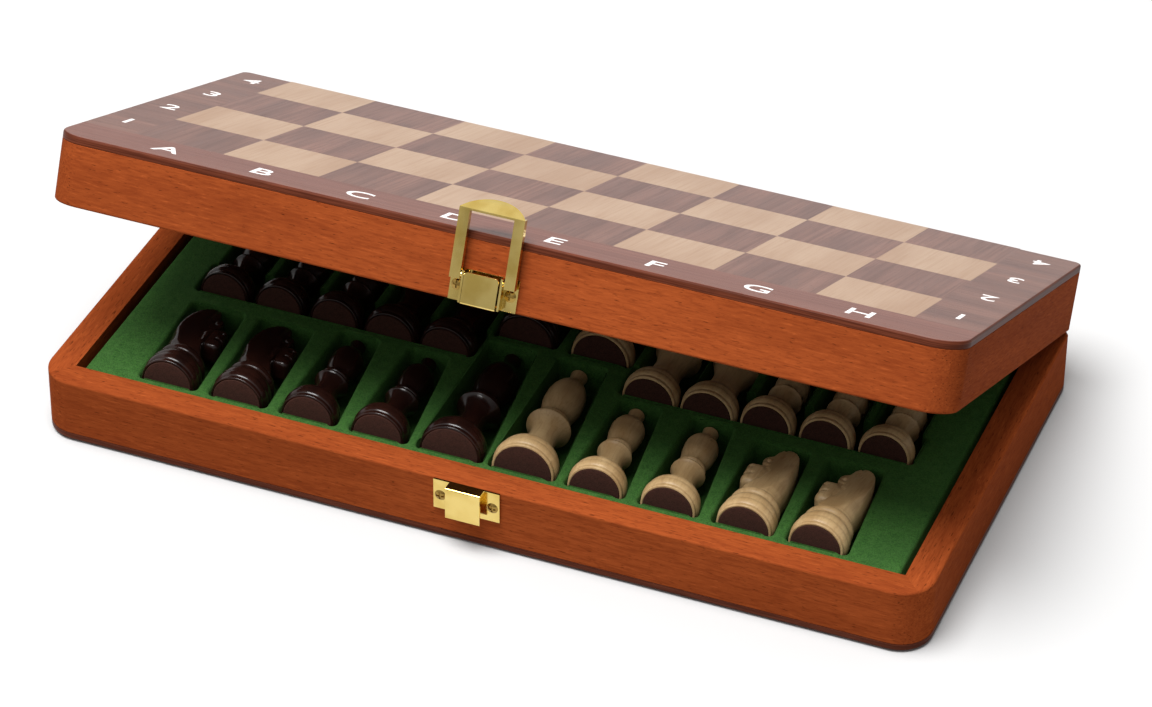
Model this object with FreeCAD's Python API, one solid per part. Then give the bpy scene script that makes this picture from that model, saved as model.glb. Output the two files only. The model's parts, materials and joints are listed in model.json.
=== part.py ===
import FreeCAD, Part
import math
import os

# A folding chess cassette: two shallow wooden halves joined by two butt hinges, a brass
# bail clasp at the front, and a flocked tray that holds the thirty-two men lying down.
# Millimetres. The origin is the centre of the base's underside, +Z is up, +X runs along the
# length, and the hinge is at the back, on the +Y side. The clasp is at the front, at -Y.
# The lid stands open by LID_ANGLE, and the bail is folded up, parallel to the lid's front.

Vector = FreeCAD.Vector

# ---------------------------------------------------------------- driving dimensions
CASE_LENGTH = 300.0
CASE_DEPTH = 150.0
RIM_PLANE = 22.7            # height where base and lid meet; the shut case is twice this
LID_ANGLE = 23.5            # how far the lid stands open at rest, degrees
RIM_CLEARANCE = 0.1         # each rim stops this far short of the rim plane

PANEL_THICKNESS = 2.4
RAIL_WIDTH = 9.5
FRONT_CORNER_RADIUS = 11.0
BACK_CORNER_RADIUS = 3.0
EDGE_ROUND = 0.8

FIELD = 33.0                # one square of the board
FIELD_COLUMNS = 8
FIELD_ROWS = 4
BOARD_SHIFT = -1.7          # the squares lie this far off the middle along X
VENEER = 0.6
SIDE_TRIM = 1.6             # taken off the outer columns of squares
FRONT_TRIM = 1.0            # taken off the front row of squares
FRONT_MARGIN = 22.3         # from the front edge to the squares, after trimming

HINGE_X = 100.0             # distance of each hinge from the middle
HINGE_GAP = 0.15            # from the back faces to the hinge axis
HINGE_LENGTH = 30.0
LEAF_DEPTH = 7.6
LEAF_THICKNESS = 0.8
KNUCKLE_RADIUS = 2.0
HINGE_PIN_RADIUS = 1.0
HINGE_SCREW_SPACING = 18.0

PLATE_HALF_WIDTH = 11.2     # clasp and catch plates
PLATE_THICKNESS = 0.8
PLATE_GAP = 0.4             # from the rim plane to the plate
PLATE_SCREW_X = 8.8
SCREW_HEAD_RADIUS = 1.9
SCREW_SHANK_RADIUS = 1.0
SHEET = 0.7                 # thickness of the folded brass
CLASP_HEIGHT = 10.4
CATCH_HEIGHT = 11.1
TONGUE_HALF_WIDTH = 5.7
TONGUE_REACH = 4.6
HOOK_HALF_WIDTH = 5.85
HOOK_REACH = 4.2
HOOK_DROP = 11.8            # from the rim plane to the hook's lower edge
EAR_INNER_X = 6.05
BAIL_PIN_RADIUS = 0.8
BAIL_PIN_CLEARANCE = 0.08
BAIL_PIVOT_REACH = 2.7      # from the front face to the bail's pivot
BAIL_PIVOT_HEIGHT = 9.2     # above the rim plane
BAIL_INNER_X = 7.3
BAIL_OUTER_X = 10.8
BAIL_TOP = 21.0             # from the pivot to the top of the bail's bar
BAIL_FLANGE = 2.0
LIP_SAGITTA = 6.2
LIP_RISE = 30.0             # degrees between the lip and the lid's top

TRAY_TOP = 21.3
TRAY_HALF_LENGTH = 138.3
TRAY_FRONT = -65.1
TRAY_BACK = 65.0
TRAY_WALL = 0.8
POCKET_CORNER = 2.0
POCKET_CLEARANCE = 0.5      # beside a foot and in front of it
FRONT_CLEARANCE = 0.8       # beside a foot in the front row
POCKET_END = 1.6            # added to a man's length
ROOK_HALF = 8.3             # half widths of the narrow pockets behind the troughs
PAWN_HALF = 6.8
FLOOR_GAP = 0.3             # under a man lying in its pocket
AXIS_DROP = 1.4             # from the tray's top to the middle of a man's foot

PAD_THICKNESS = 0.6
PAD_RECESS = 0.4
PAD_BORDER = 0.7            # the wooden ring round the pad
FACE_INSET = 0.6            # the foot's face is this much smaller than its widest part
KNEE_SHARE = 0.72           # where a foot's shoulder turns, as a share of its radius

# Height, foot radius and nose-down lying angle of each kind of man.
MEN = {
    "king": (60.0, 10.8, 4.0),
    "queen": (56.0, 10.6, 4.0),
    "bishop": (46.5, 9.5, 3.5),
    "knight": (43.0, 9.5, 3.0),
    "rook": (37.0, 9.5, 3.0),
    "pawn": (32.0, 9.1, 6.5),
}

FRONT_ROW_Y = -61.0         # where the men's feet stand in each row
MIDDLE_ROW_Y = -10.5
ROYAL_ROW_Y = 3.5
BACK_ROW_Y = 30.0
FRONT_PITCH = 24.5
BACK_PITCH = 19.8
ROYAL_X = 13.0
FIRST_BACK_X = 35.3         # the inmost rook and the inmost pawn of the back row

FRONT_KINDS = (("king", ""), ("bishop", "_inner"), ("bishop", "_outer"),
               ("knight", "_inner"), ("knight", "_outer"))

# How each man of the front row lies, from the middle outwards: its yaw, and how far it lies
# off its pocket's middle along X.
FRONT_LIE = {
    "light": ((4.0, 0.1), (4.0, -0.1), (3.0, -0.2), (1.5, 0.4), (-1.0, -0.5)),
    "dark": ((2.5, -0.1), (2.0, -0.4), (3.0, -0.2), (1.0, -0.4), (2.0, -0.4)),
}

# Half width of a front pocket's head end, and how far that end lies towards -X.
HEAD_ENDS = {"king": (8.5, 3.0), "bishop": (6.8, 2.0), "knight": (9.4, 2.0)}
FRONT_POCKET_END = 0.9      # added to a man's length in the front row

# ---------------------------------------------------------------- derived places
FRONT = -CASE_DEPTH / 2
BACK = CASE_DEPTH / 2
HALF_LENGTH = CASE_LENGTH / 2
HINGE_Y = BACK + HINGE_GAP
HINGE_POINT = Vector(0, HINGE_Y, RIM_PLANE)
RIM = RIM_PLANE - RIM_CLEARANCE
PIVOT = Vector(0, FRONT - BAIL_PIVOT_REACH, RIM_PLANE + BAIL_PIVOT_HEIGHT)
SIDES = {"left": -1, "right": 1}


# ---------------------------------------------------------------- helpers
def block(x0, x1, y0, y1, z0, z1):
    return Part.makeBox(x1 - x0, y1 - y0, z1 - z0, Vector(x0, y0, z0))


def rod(radius, x0, x1, y, z):
    """A cylinder along X."""
    return Part.makeCylinder(radius, x1 - x0, Vector(x0, y, z), Vector(1, 0, 0))


def polygon_slab(points, z0, z1):
    corners = [Vector(x, y, z0) for x, y in points]
    face = Part.Face(Part.makePolygon(corners + corners[:1]))
    return face.extrude(Vector(0, 0, z1 - z0))


def rounded_slab(x0, x1, y0, y1, z0, z1, front_radius, back_radius):
    """A slab with its four upright edges rounded, the front pair and the back pair alike."""
    corners = [(x0, y0, front_radius, 180), (x1, y0, front_radius, 270),
               (x1, y1, back_radius, 0), (x0, y1, back_radius, 90)]
    edges = []
    ends = []
    for x, y, radius, start in corners:
        middle = Vector(x + math.copysign(radius, -x + (x0 + x1) / 2),
                        y + math.copysign(radius, -y + (y0 + y1) / 2), z0)
        arc = Part.Arc(*[middle + Vector(radius * math.cos(math.radians(start + turn)),
                                         radius * math.sin(math.radians(start + turn)), 0)
                         for turn in (0, 45, 90)])
        edges.append(arc.toShape())
        ends.append((arc.StartPoint, arc.EndPoint))
    outline = []
    for index, edge in enumerate(edges):
        outline.append(edge)
        here = ends[index][1]
        there = ends[(index + 1) % len(ends)][0]
        outline.append(Part.LineSegment(here, there).toShape())
    return Part.Face(Part.Wire(outline)).extrude(Vector(0, 0, z1 - z0))


def edges_where(shape, test):
    return [edge for edge in shape.Edges if test(edge.BoundBox)]


def mirrored_to_lid(shape):
    """The shut lid is the base's mirror image above the rim plane."""
    return shape.mirror(Vector(0, 0, RIM_PLANE), Vector(0, 0, 1))


def opened(shape):
    """Swings a piece of the shut lid open about the hinge."""
    turned_shape = shape.copy()
    turned_shape.rotate(HINGE_POINT, Vector(-1, 0, 0), LID_ANGLE)
    return turned_shape


def export(shape, node):
    shape.exportStep("parts/" + node + ".step")


# ---------------------------------------------------------------- case halves
def half_outline(z0, z1):
    return rounded_slab(-HALF_LENGTH, HALF_LENGTH, FRONT, BACK, z0, z1,
                        FRONT_CORNER_RADIUS, BACK_CORNER_RADIUS)


def hinge_relief():
    """What the rim loses for one half's leaves, knuckles and screws, at both hinges."""
    cuts = []
    for side in SIDES.values():
        x0 = side * HINGE_X - HINGE_LENGTH / 2
        x1 = x0 + HINGE_LENGTH
        cuts.append(block(x0 - 0.1, x1 + 0.1, HINGE_Y - LEAF_DEPTH - 0.1, BACK + 1,
                          RIM - LEAF_THICKNESS, RIM_PLANE + 1))
        cuts.append(rod(KNUCKLE_RADIUS + 0.35, x0 - 0.3, x1 + 0.3, HINGE_Y, RIM_PLANE))
        for x, y in hinge_screw_places(side):
            cuts.append(Part.makeCylinder(0.9, 7.0, Vector(x, y, RIM - 7.0)))
    return cuts


def plate_screw_holes(height):
    """Holes for the two screws of a clasp or catch plate, in the front rail."""
    return [Part.makeCylinder(SCREW_SHANK_RADIUS + 0.05, 8.5, Vector(x, FRONT - 2, height),
                              Vector(0, 1, 0)) for x in (-PLATE_SCREW_X, PLATE_SCREW_X)]


def rails(screw_height):
    """The four mitred rails of one half, in the base's place."""
    ring = half_outline(PANEL_THICKNESS, RIM)
    inner_x = HALF_LENGTH - RAIL_WIDTH
    inner_front = FRONT + RAIL_WIDTH
    inner_back = BACK - RAIL_WIDTH
    outer_edges = edges_where(ring, lambda box: box.ZLength < 0.01)
    ring = ring.makeFillet(EDGE_ROUND, [e for e in outer_edges if e.BoundBox.ZMin > RIM - 0.1])
    low = edges_where(ring, lambda box: box.ZLength < 0.01 and box.ZMax < PANEL_THICKNESS + 0.01)
    ring = ring.makeChamfer(0.3, low)
    ring = ring.cut(block(-inner_x, inner_x, inner_front, inner_back, 0, RIM_PLANE + 1))
    reach = 10.0
    corners = {
        "front_left": ((-HALF_LENGTH - reach, FRONT - reach), (-inner_x, inner_front)),
        "front_right": ((HALF_LENGTH + reach, FRONT - reach), (inner_x, inner_front)),
        "back_right": ((HALF_LENGTH + reach, BACK + reach), (inner_x, inner_back)),
        "back_left": ((-HALF_LENGTH - reach, BACK + reach), (-inner_x, inner_back)),
    }
    spans = {
        "front_rail": ("front_left", "front_right"),
        "right_rail": ("front_right", "back_right"),
        "back_rail": ("back_right", "back_left"),
        "left_rail": ("back_left", "front_left"),
    }
    pieces = {}
    for name, (start, end) in spans.items():
        sector = polygon_slab([corners[start][0], corners[end][0],
                               corners[end][1], corners[start][1]], 0, RIM_PLANE + 1)
        pieces[name] = ring.common(sector)
    for cut in plate_screw_holes(screw_height):
        pieces["front_rail"] = pieces["front_rail"].cut(cut)
    for cut in hinge_relief():
        pieces["back_rail"] = pieces["back_rail"].cut(cut)
    return pieces


def board_lines():
    """Where the squares begin and end along X and along Y."""
    across = [BOARD_SHIFT + FIELD * (index - FIELD_COLUMNS / 2)
              for index in range(FIELD_COLUMNS + 1)]
    across[0] += SIDE_TRIM
    across[-1] -= SIDE_TRIM
    first = FRONT + FRONT_MARGIN
    along = [first] + [first - FRONT_TRIM + FIELD * row for row in range(1, FIELD_ROWS)] + [BACK]
    return across, along


def panel():
    """The thin panel that closes one half, with a shallow recess for the squares."""
    slab = half_outline(0, PANEL_THICKNESS)
    rounded = edges_where(slab, lambda box: box.ZMax < 0.01 and box.YMin < BACK - 1)
    slab = slab.makeFillet(EDGE_ROUND, rounded)
    across, along = board_lines()
    return slab.cut(block(across[0], across[-1], along[0], along[-1] + 1, -1, VENEER))


def squares(wanted):
    """The squares of one colour, as separate pieces of veneer."""
    across, along = board_lines()
    pieces = []
    for column in range(FIELD_COLUMNS):
        for row in range(FIELD_ROWS):
            if (column + row) % 2 == wanted:
                pieces.append(block(across[column], across[column + 1],
                                    along[row], along[row + 1], 0, VENEER))
    return Part.makeCompound(pieces)


# ---------------------------------------------------------------- hinges
def hinge_screw_places(side):
    y = HINGE_Y - LEAF_DEPTH / 2 - 1.2
    return [(side * HINGE_X + offset, y)
            for offset in (-HINGE_SCREW_SPACING / 2, HINGE_SCREW_SPACING / 2)]


def knuckle_spans(side):
    """Three equal knuckles along the hinge: their ends along X."""
    start = side * HINGE_X - HINGE_LENGTH / 2
    step = HINGE_LENGTH / 3
    gap = 0.1
    return [(start + step * index + gap, start + step * (index + 1) - gap)
            for index in range(3)]


def hinge_leaf(side, own, bore):
    """A leaf let into the rim of the base, with the knuckles whose numbers are in own."""
    start = side * HINGE_X - HINGE_LENGTH / 2
    leaf = block(start, start + HINGE_LENGTH, HINGE_Y - LEAF_DEPTH, HINGE_Y,
                 RIM - LEAF_THICKNESS, RIM)
    for index, (x0, x1) in enumerate(knuckle_spans(side)):
        if index in own:
            leaf = leaf.fuse(rod(KNUCKLE_RADIUS, x0, x1, HINGE_Y, RIM_PLANE))
        else:
            leaf = leaf.cut(rod(KNUCKLE_RADIUS + 0.35, x0 - 0.2, x1 + 0.2, HINGE_Y, RIM_PLANE))
    leaf = leaf.cut(rod(bore, start - 1, start + HINGE_LENGTH + 1, HINGE_Y, RIM_PLANE))
    for x, y in hinge_screw_places(side):
        leaf = leaf.cut(Part.makeCone(0.9, 1.7, LEAF_THICKNESS, Vector(x, y, RIM - LEAF_THICKNESS)))
    return leaf.removeSplitter()


def hinge_screw(x, y):
    """A small countersunk screw, its head flush with the rim."""
    head = Part.makeCone(0.85, 1.65, LEAF_THICKNESS, Vector(x, y, RIM - LEAF_THICKNESS))
    shank = Part.makeCylinder(0.85, 6.0, Vector(x, y, RIM - LEAF_THICKNESS - 6.0))
    slot = block(x - 2, x + 2, y - 0.2, y + 0.2, RIM - 0.35, RIM + 1)
    return head.fuse(shank).cut(slot).removeSplitter()


def hinge_screws():
    return Part.makeCompound([hinge_screw(x, y) for side in SIDES.values()
                              for x, y in hinge_screw_places(side)])


def hinge_pin(side):
    start = side * HINGE_X - HINGE_LENGTH / 2
    return rod(HINGE_PIN_RADIUS, start, start + HINGE_LENGTH, HINGE_Y, RIM_PLANE)


# ---------------------------------------------------------------- clasp and catch
def plate_screw(x, height):
    """A round-headed cross-recess screw, driven into the front from outside."""
    seat = FRONT - PLATE_THICKNESS
    rise = 0.7
    dome_radius = (SCREW_HEAD_RADIUS ** 2 + rise ** 2) / (2 * rise)
    dome = Part.makeSphere(dome_radius, Vector(x, seat - rise + dome_radius, height))
    dome = dome.common(block(x - 3, x + 3, seat - rise - 1, seat, height - 3, height + 3))
    shank = Part.makeCylinder(SCREW_SHANK_RADIUS, 7.0, Vector(x, seat - 0.1, height),
                              Vector(0, 1, 0))
    screw = dome.fuse(shank)
    for wide, tall in ((1.25, 0.3), (0.3, 1.25)):
        screw = screw.cut(block(x - wide, x + wide, seat - 2, seat - 0.15,
                                height - tall, height + tall))
    return screw.removeSplitter()


def plate_screws(height):
    return Part.makeCompound([plate_screw(x, height) for x in (-PLATE_SCREW_X, PLATE_SCREW_X)])


def drilled_plate(z0, z1, screw_height):
    plate = block(-PLATE_HALF_WIDTH, PLATE_HALF_WIDTH, FRONT - PLATE_THICKNESS, FRONT, z0, z1)
    for cut in plate_screw_holes(screw_height):
        plate = plate.cut(cut)
    return plate


def folded_strip(half_width, reach, z_shelf, z_end):
    """A shelf standing out of a plate, and a flap folded from its edge towards z_end."""
    outer = FRONT - reach
    shelf_z = sorted((z_shelf, z_shelf + math.copysign(SHEET, z_end - z_shelf)))
    shelf = block(-half_width, half_width, outer, FRONT - PLATE_THICKNESS, *shelf_z)
    flap = block(-half_width, half_width, outer, outer + SHEET, *sorted((z_shelf, z_end)))
    strip = shelf.fuse(flap).removeSplitter()
    bend = edges_where(strip, lambda box: box.YMax < outer + 0.01 and box.ZLength < 0.01
                       and abs(box.ZMin - z_shelf) < 0.01)
    return strip.makeFillet(0.6, bend)


def clasp_plate(screw_height):
    """Plate, two ears that carry the bail's pins, and the tongue folded up in front."""
    z0 = RIM_PLANE + PLATE_GAP
    z1 = z0 + CLASP_HEIGHT
    plate = drilled_plate(z0, z1, screw_height)
    hole = rod(BAIL_PIN_RADIUS + BAIL_PIN_CLEARANCE, -BAIL_INNER_X, BAIL_INNER_X,
               PIVOT.y, PIVOT.z)
    for side in SIDES.values():
        x0, x1 = sorted((side * EAR_INNER_X, side * (EAR_INNER_X + SHEET)))
        ear = block(x0, x1, FRONT - 3.9, FRONT - PLATE_THICKNESS, z0 + 0.2, z1)
        plate = plate.fuse(ear.cut(hole))
    tongue = folded_strip(TONGUE_HALF_WIDTH, TONGUE_REACH, z0, z1 - 0.2)
    top_corners = edges_where(tongue, lambda box: box.XLength < 0.01 and box.ZLength < 0.01
                              and box.YMax < FRONT - 3.5 and box.ZMin > z1 - 0.3)
    tongue = tongue.makeFillet(1.3, top_corners)
    return plate.fuse(tongue).removeSplitter()


def catch_plate(screw_height):
    """Plate and the hook that the bail's bar snaps behind."""
    z1 = RIM_PLANE - PLATE_GAP
    plate = drilled_plate(z1 - CATCH_HEIGHT, z1, screw_height)
    hook = folded_strip(HOOK_HALF_WIDTH, HOOK_REACH, z1, RIM_PLANE - HOOK_DROP)
    return plate.fuse(hook).removeSplitter()


def clasp_bail():
    """A loop of folded strip: two channel legs with inward pins, a thin bar and a lip."""
    face = PIVOT.y - BAIL_FLANGE / 2
    foot = PIVOT.z - 1.4
    top = PIVOT.z + BAIL_TOP
    bail = block(-BAIL_OUTER_X, BAIL_OUTER_X, face, face + SHEET, top - SHEET, top)
    for side in SIDES.values():
        inner = side * BAIL_INNER_X
        outer = side * BAIL_OUTER_X
        bail = bail.fuse(block(*sorted((inner, outer)), face, face + SHEET, foot, top))
        for x, inward in ((inner, side), (outer, -side)):
            bail = bail.fuse(block(*sorted((x, x + inward * SHEET)), face,
                                   face + BAIL_FLANGE, foot, top))
        bail = bail.fuse(rod(BAIL_PIN_RADIUS, *sorted((side * 5.9, inner + side * 0.3)),
                             PIVOT.y, PIVOT.z))
    radius = (BAIL_OUTER_X ** 2 + LIP_SAGITTA ** 2) / (2 * LIP_SAGITTA)
    lip = Part.makeCylinder(radius, SHEET, Vector(0, LIP_SAGITTA - radius, -SHEET))
    lip = lip.common(block(-radius, radius, 0, LIP_SAGITTA + 1, -SHEET, 0))
    lip.rotate(Vector(0, 0, 0), Vector(1, 0, 0), LIP_RISE)
    lip.translate(Vector(0, face + 0.1, top))
    return bail.fuse(lip).removeSplitter()


# ---------------------------------------------------------------- chessmen
def turned(profile):
    """A solid turned about Z. Each point is (radius, height), reached by a straight run, or
    (radius, height, middle radius, middle height), reached by an arc through the middle."""
    here = Vector(0, 0, profile[0][1])
    edges = []
    for point in profile:
        there = Vector(point[0], 0, point[1])
        if len(point) == 4:
            edges.append(Part.Arc(here, Vector(point[2], 0, point[3]), there).toShape())
        elif (there - here).Length > 1e-6:
            edges.append(Part.LineSegment(here, there).toShape())
        here = there
    edges.append(Part.LineSegment(here, Vector(0, 0, profile[0][1])).toShape())
    return Part.Face(Part.Wire(edges)).revolve(Vector(0, 0, 0), Vector(0, 0, 1), 360)


def cap(start_radius, start_height, top):
    """The point that closes a profile: a part of a ball, centred on the axis, up to top."""
    rise = top - start_height
    ball_radius = (start_radius ** 2 + rise ** 2) / (2 * rise)
    turn = math.atan2(start_radius, start_height - (top - ball_radius)) / 2
    return (0, top, ball_radius * math.sin(turn), top - ball_radius + ball_radius * math.cos(turn))


def stand(radius):
    """The points of a man's lowest part: felt recess, face, swelling band and groove."""
    face = radius - FACE_INSET
    recess = face - PAD_BORDER
    return [(recess, PAD_RECESS), (recess, 0), (face - 0.4, 0),
            (face, 0.4, face - 0.12, 0.12), (radius, 3.0, radius - 0.25, 1.5),
            (radius, 4.0), (radius - 0.4, 4.4), (radius - 0.4, 4.8)]


def foot(radius, neck_radius, neck_height):
    """A stand with a shoulder that rounds over and then sweeps in to the neck."""
    knee_radius = KNEE_SHARE * radius
    knee_height = 4.8 + 0.52 * (neck_height - 4.8)
    over_radius = (radius - 0.4 + knee_radius) / 2 + 0.6
    over_height = (4.8 + knee_height) / 2 + 0.45
    sweep_radius = (knee_radius + neck_radius) / 2 - 0.45
    sweep_height = (knee_height + neck_height) / 2 - 0.3
    return stand(radius) + [(knee_radius, knee_height, over_radius, over_height),
                            (neck_radius, neck_height, sweep_radius, sweep_height)]


def king_shape(radius):
    profile = foot(radius, 4.9, 14.5)
    profile += [(7.3, 26.2, 4.9, 21.2), (7.3, 27.4, 7.6, 26.8), (4.9, 30.0, 6.4, 29.2),
                (4.9, 31.8, 5.6, 30.9), (4.5, 32.6), (6.7, 43.6, 6.3, 37.8),
                (2.6, 53.2, 5.2, 50.4), (2.9, 58.4, 2.6, 56.0), cap(2.9, 58.4, 60.0)]
    return turned(profile)


def queen_shape(radius):
    profile = foot(radius, 4.9, 14.0)
    profile += [(7.3, 25.4, 4.8, 20.6), (7.3, 26.6, 7.6, 26.0), (4.8, 29.0, 6.3, 28.2),
                (4.8, 30.8, 5.5, 29.9), (4.3, 31.6), (6.9, 47.6, 4.5, 39.8),
                (5.4, 48.2), (2.4, 51.0, 4.4, 50.3), (2.0, 51.6), cap(2.0, 51.6, 56.0)]
    cup = turned(profile)
    notches = []
    for index in range(8):
        notch = Part.makeCylinder(1.3, 4.0, Vector(5.2, 0, 49.2), Vector(1, 0, 0))
        notch.rotate(Vector(0, 0, 0), Vector(0, 0, 1), 45.0 * index)
        notches.append(notch)
    return cup.cut(Part.makeCompound(notches))


def bishop_shape(radius):
    profile = foot(radius, 4.5, 12.0)
    profile += [(5.5, 20.6, 4.2, 16.6), (5.5, 21.6, 5.75, 21.1), (4.2, 24.0, 5.0, 23.2),
                (4.2, 25.8, 4.9, 24.9), (3.9, 26.6), (5.5, 33.6, 5.1, 29.8),
                (2.4, 40.6, 4.4, 38.6), (2.7, 44.9, 2.4, 42.8), cap(2.7, 44.9, 46.5)]
    body = turned(profile)
    slit = block(-0.45, 0.45, -8, 8, 0, 9)
    slit.rotate(Vector(0, 0, 0), Vector(0, 1, 0), 38.0)
    slit.translate(Vector(2.6, 0, 35.0))
    return body.cut(slit)


def rook_shape(radius):
    profile = foot(radius, 5.7, 12.5)
    profile += [(7.0, 26.2, 5.1, 19.6), (7.4, 27.0), (7.4, 28.8, 7.9, 27.9), (6.9, 29.6),
                (7.2, 37.0), (5.2, 37.0), (5.2, 34.2), (0, 34.2)]
    tower = turned(profile)
    notches = [block(-8, 8, -0.9, 0.9, 34.9, 38.0) for _ in range(2)]
    notches[1].rotate(Vector(0, 0, 0), Vector(0, 0, 1), 90.0)
    return tower.cut(notches[0]).cut(notches[1])


def pawn_shape(radius):
    profile = foot(radius, 4.4, 11.2)
    profile += [(5.4, 18.6, 3.9, 15.4), (5.4, 19.8, 5.8, 19.2), (3.6, 21.4),
                cap(3.6, 21.4, 32.0)]
    return turned(profile)


def knight_shape(radius):
    """A turned foot with a horse's head cut from the round, the muzzle towards -X."""
    profile = stand(radius)
    profile += [(8.0, 8.8, 9.0, 7.2), (7.7, 9.4), (7.6, 12.6, 8.4, 11.0),
                (6.7, 14.0, 6.9, 13.4), (0, 14.0)]
    base = turned(profile)
    outline = [(-6.4, 13.6), (-4.7, 16.2), (-3.9, 18.4), (-4.3, 20.3), (-6.8, 20.8),
               (-8.3, 23.0), (-8.6, 27.6), (-7.7, 31.0), (-5.6, 32.0), (-4.8, 33.2),
               (-4.8, 35.0), (-3.9, 36.8), (-2.4, 37.4), (-2.0, 39.4), (-1.2, 41.4),
               (0.6, 42.8), (2.6, 42.4), (4.6, 40.2), (6.2, 36.6), (7.2, 31.6),
               (7.6, 26.0), (7.7, 20.0), (7.0, 13.6)]
    corners = [Vector(x, -9.0, z) for x, z in outline]
    head = Part.Face(Part.makePolygon(corners + corners[:1])).extrude(Vector(0, 18.0, 0))
    round_limit = turned([(7.0, 13.6), (8.0, 20.0, 7.8, 16.0), (9.0, 27.0, 8.9, 23.5),
                          (4.6, 41.4, 8.2, 35.6), cap(4.6, 41.4, 43.0)])
    head = head.common(round_limit)
    for side in SIDES.values():
        flat = block(-14, 14, 0, 10, -2, 40)
        flat.rotate(Vector(0, 0, 0), Vector(1, 0, 0), 9.0)
        flat.rotate(Vector(0, 0, 0), Vector(0, 0, 1), 9.0)
        flat.translate(Vector(0, 6.5, 18.0))
        if side < 0:
            flat = flat.mirror(Vector(0, 0, 0), Vector(0, 1, 0))
        head = head.cut(flat)
    return base.fuse(head).removeSplitter()


SHAPES = {
    "king": king_shape,
    "queen": queen_shape,
    "bishop": bishop_shape,
    "knight": knight_shape,
    "rook": rook_shape,
    "pawn": pawn_shape,
}


def pad(radius):
    """The felt pad under a man's foot."""
    return Part.makeCylinder(radius - FACE_INSET - PAD_BORDER - 0.1, PAD_THICKNESS,
                             Vector(0, 0, PAD_RECESS - PAD_THICKNESS))


def pocket_floor(kind):
    """Height of the floor under a man whose foot has its middle AXIS_DROP below the top."""
    return TRAY_TOP - AXIS_DROP - MEN[kind][1] - FLOOR_GAP


def lying(kind, colour, x, y, yaw):
    """A man and its pad, lying head to the back at (x, y); yaw turns the head to -X."""
    length, radius, nose_down = MEN[kind]
    body = SHAPES[kind](radius)
    if colour == "dark":
        body = body.mirror(Vector(0, 0, 0), Vector(1, 0, 0))
    man = Part.makeCompound([body, pad(radius)])
    man.rotate(Vector(0, 0, 0), Vector(1, 0, 0), -90.0 - nose_down)
    man.rotate(Vector(0, 0, 0), Vector(0, 0, 1), yaw)
    extent = man.optimalBoundingBox(False)
    man.translate(Vector(x, y - extent.YMin, pocket_floor(kind) + FLOOR_GAP - extent.ZMin))
    return man


def front_slot_x(side, slot):
    return side * FRONT_PITCH * (slot + 0.5)


def row_places():
    """Every man's node name, kind, colour, place along X and Y, and yaw."""
    places = []
    back_x = [FIRST_BACK_X + BACK_PITCH * index for index in range(5)]
    for colour, side in (("dark", -1), ("light", 1)):
        for slot, (kind, suffix) in enumerate(FRONT_KINDS):
            yaw, aside = FRONT_LIE[colour][slot]
            places.append((colour + "_" + kind + suffix, kind, colour,
                           front_slot_x(side, slot) + aside, FRONT_ROW_Y, yaw))
        places.append((colour + "_queen", "queen", colour, side * ROYAL_X, ROYAL_ROW_Y, 0.0))
        for index, x in enumerate(back_x):
            if index < 2:
                name = colour + "_rook" + ("_inner", "_outer")[index]
                places.append((name, "rook", colour, side * x, MIDDLE_ROW_Y, 0.0))
            else:
                name = colour + "_pawn_" + str(index - 1)
                places.append((name, "pawn", colour, side * x, MIDDLE_ROW_Y, 0.0))
            name = colour + "_pawn_" + str(index + 4)
            places.append((name, "pawn", colour, side * x, BACK_ROW_Y, 0.0))
    return places


# ---------------------------------------------------------------- tray
def straight_pocket(x0, x1, y0, y1, floor):
    """A rectangular pocket: its four corners in plan and its floor."""
    return [(x0, y0), (x1, y0), (x1, y1), (x0, y1)], floor


def front_pocket(x, kind):
    """A pocket of the front row, narrower at the head end, which lies towards -X."""
    length, radius, nose_down = MEN[kind]
    half = radius + FRONT_CLEARANCE
    head_half, skew = HEAD_ENDS[kind]
    y0 = FRONT_ROW_Y - POCKET_CLEARANCE
    y1 = FRONT_ROW_Y + length + FRONT_POCKET_END
    return [(x - half, y0), (x + half, y0), (x - skew + head_half, y1),
            (x - skew - head_half, y1)], pocket_floor(kind)


def pockets():
    """Every pocket's corners in plan and its floor."""
    found = []
    middle_end = MIDDLE_ROW_Y + MEN["rook"][0] + POCKET_END
    back_end = BACK_ROW_Y + MEN["pawn"][0] + POCKET_END
    first = FIRST_BACK_X - MEN["rook"][1] - POCKET_CLEARANCE
    last = FIRST_BACK_X + 4 * BACK_PITCH + MEN["rook"][1] + POCKET_CLEARANCE
    rook_floor = pocket_floor("rook")
    pawn_floor = pocket_floor("pawn")
    for side in SIDES.values():
        for slot, (kind, suffix) in enumerate(FRONT_KINDS):
            found.append(front_pocket(front_slot_x(side, slot), kind))
        x0, x1 = sorted((side * first, side * last))
        found.append(straight_pocket(x0, x1, MIDDLE_ROW_Y - POCKET_CLEARANCE,
                                     MIDDLE_ROW_Y + 15.5, rook_floor))
        found.append(straight_pocket(x0, x1, BACK_ROW_Y - POCKET_CLEARANCE,
                                     BACK_ROW_Y + 13.5, pawn_floor))
    for name, kind, colour, x, y, yaw in row_places():
        if kind == "queen":
            half = MEN["queen"][1] + POCKET_CLEARANCE
            found.append(straight_pocket(x - half, x + half, y - POCKET_CLEARANCE,
                                         y + MEN["queen"][0] + POCKET_END,
                                         pocket_floor("queen")))
        elif y == MIDDLE_ROW_Y:
            found.append(straight_pocket(x - ROOK_HALF, x + ROOK_HALF, y, middle_end,
                                         rook_floor if kind == "rook" else pawn_floor))
        elif y == BACK_ROW_Y:
            found.append(straight_pocket(x - PAWN_HALF, x + PAWN_HALF, y, back_end,
                                         pawn_floor))
    return found


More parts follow.
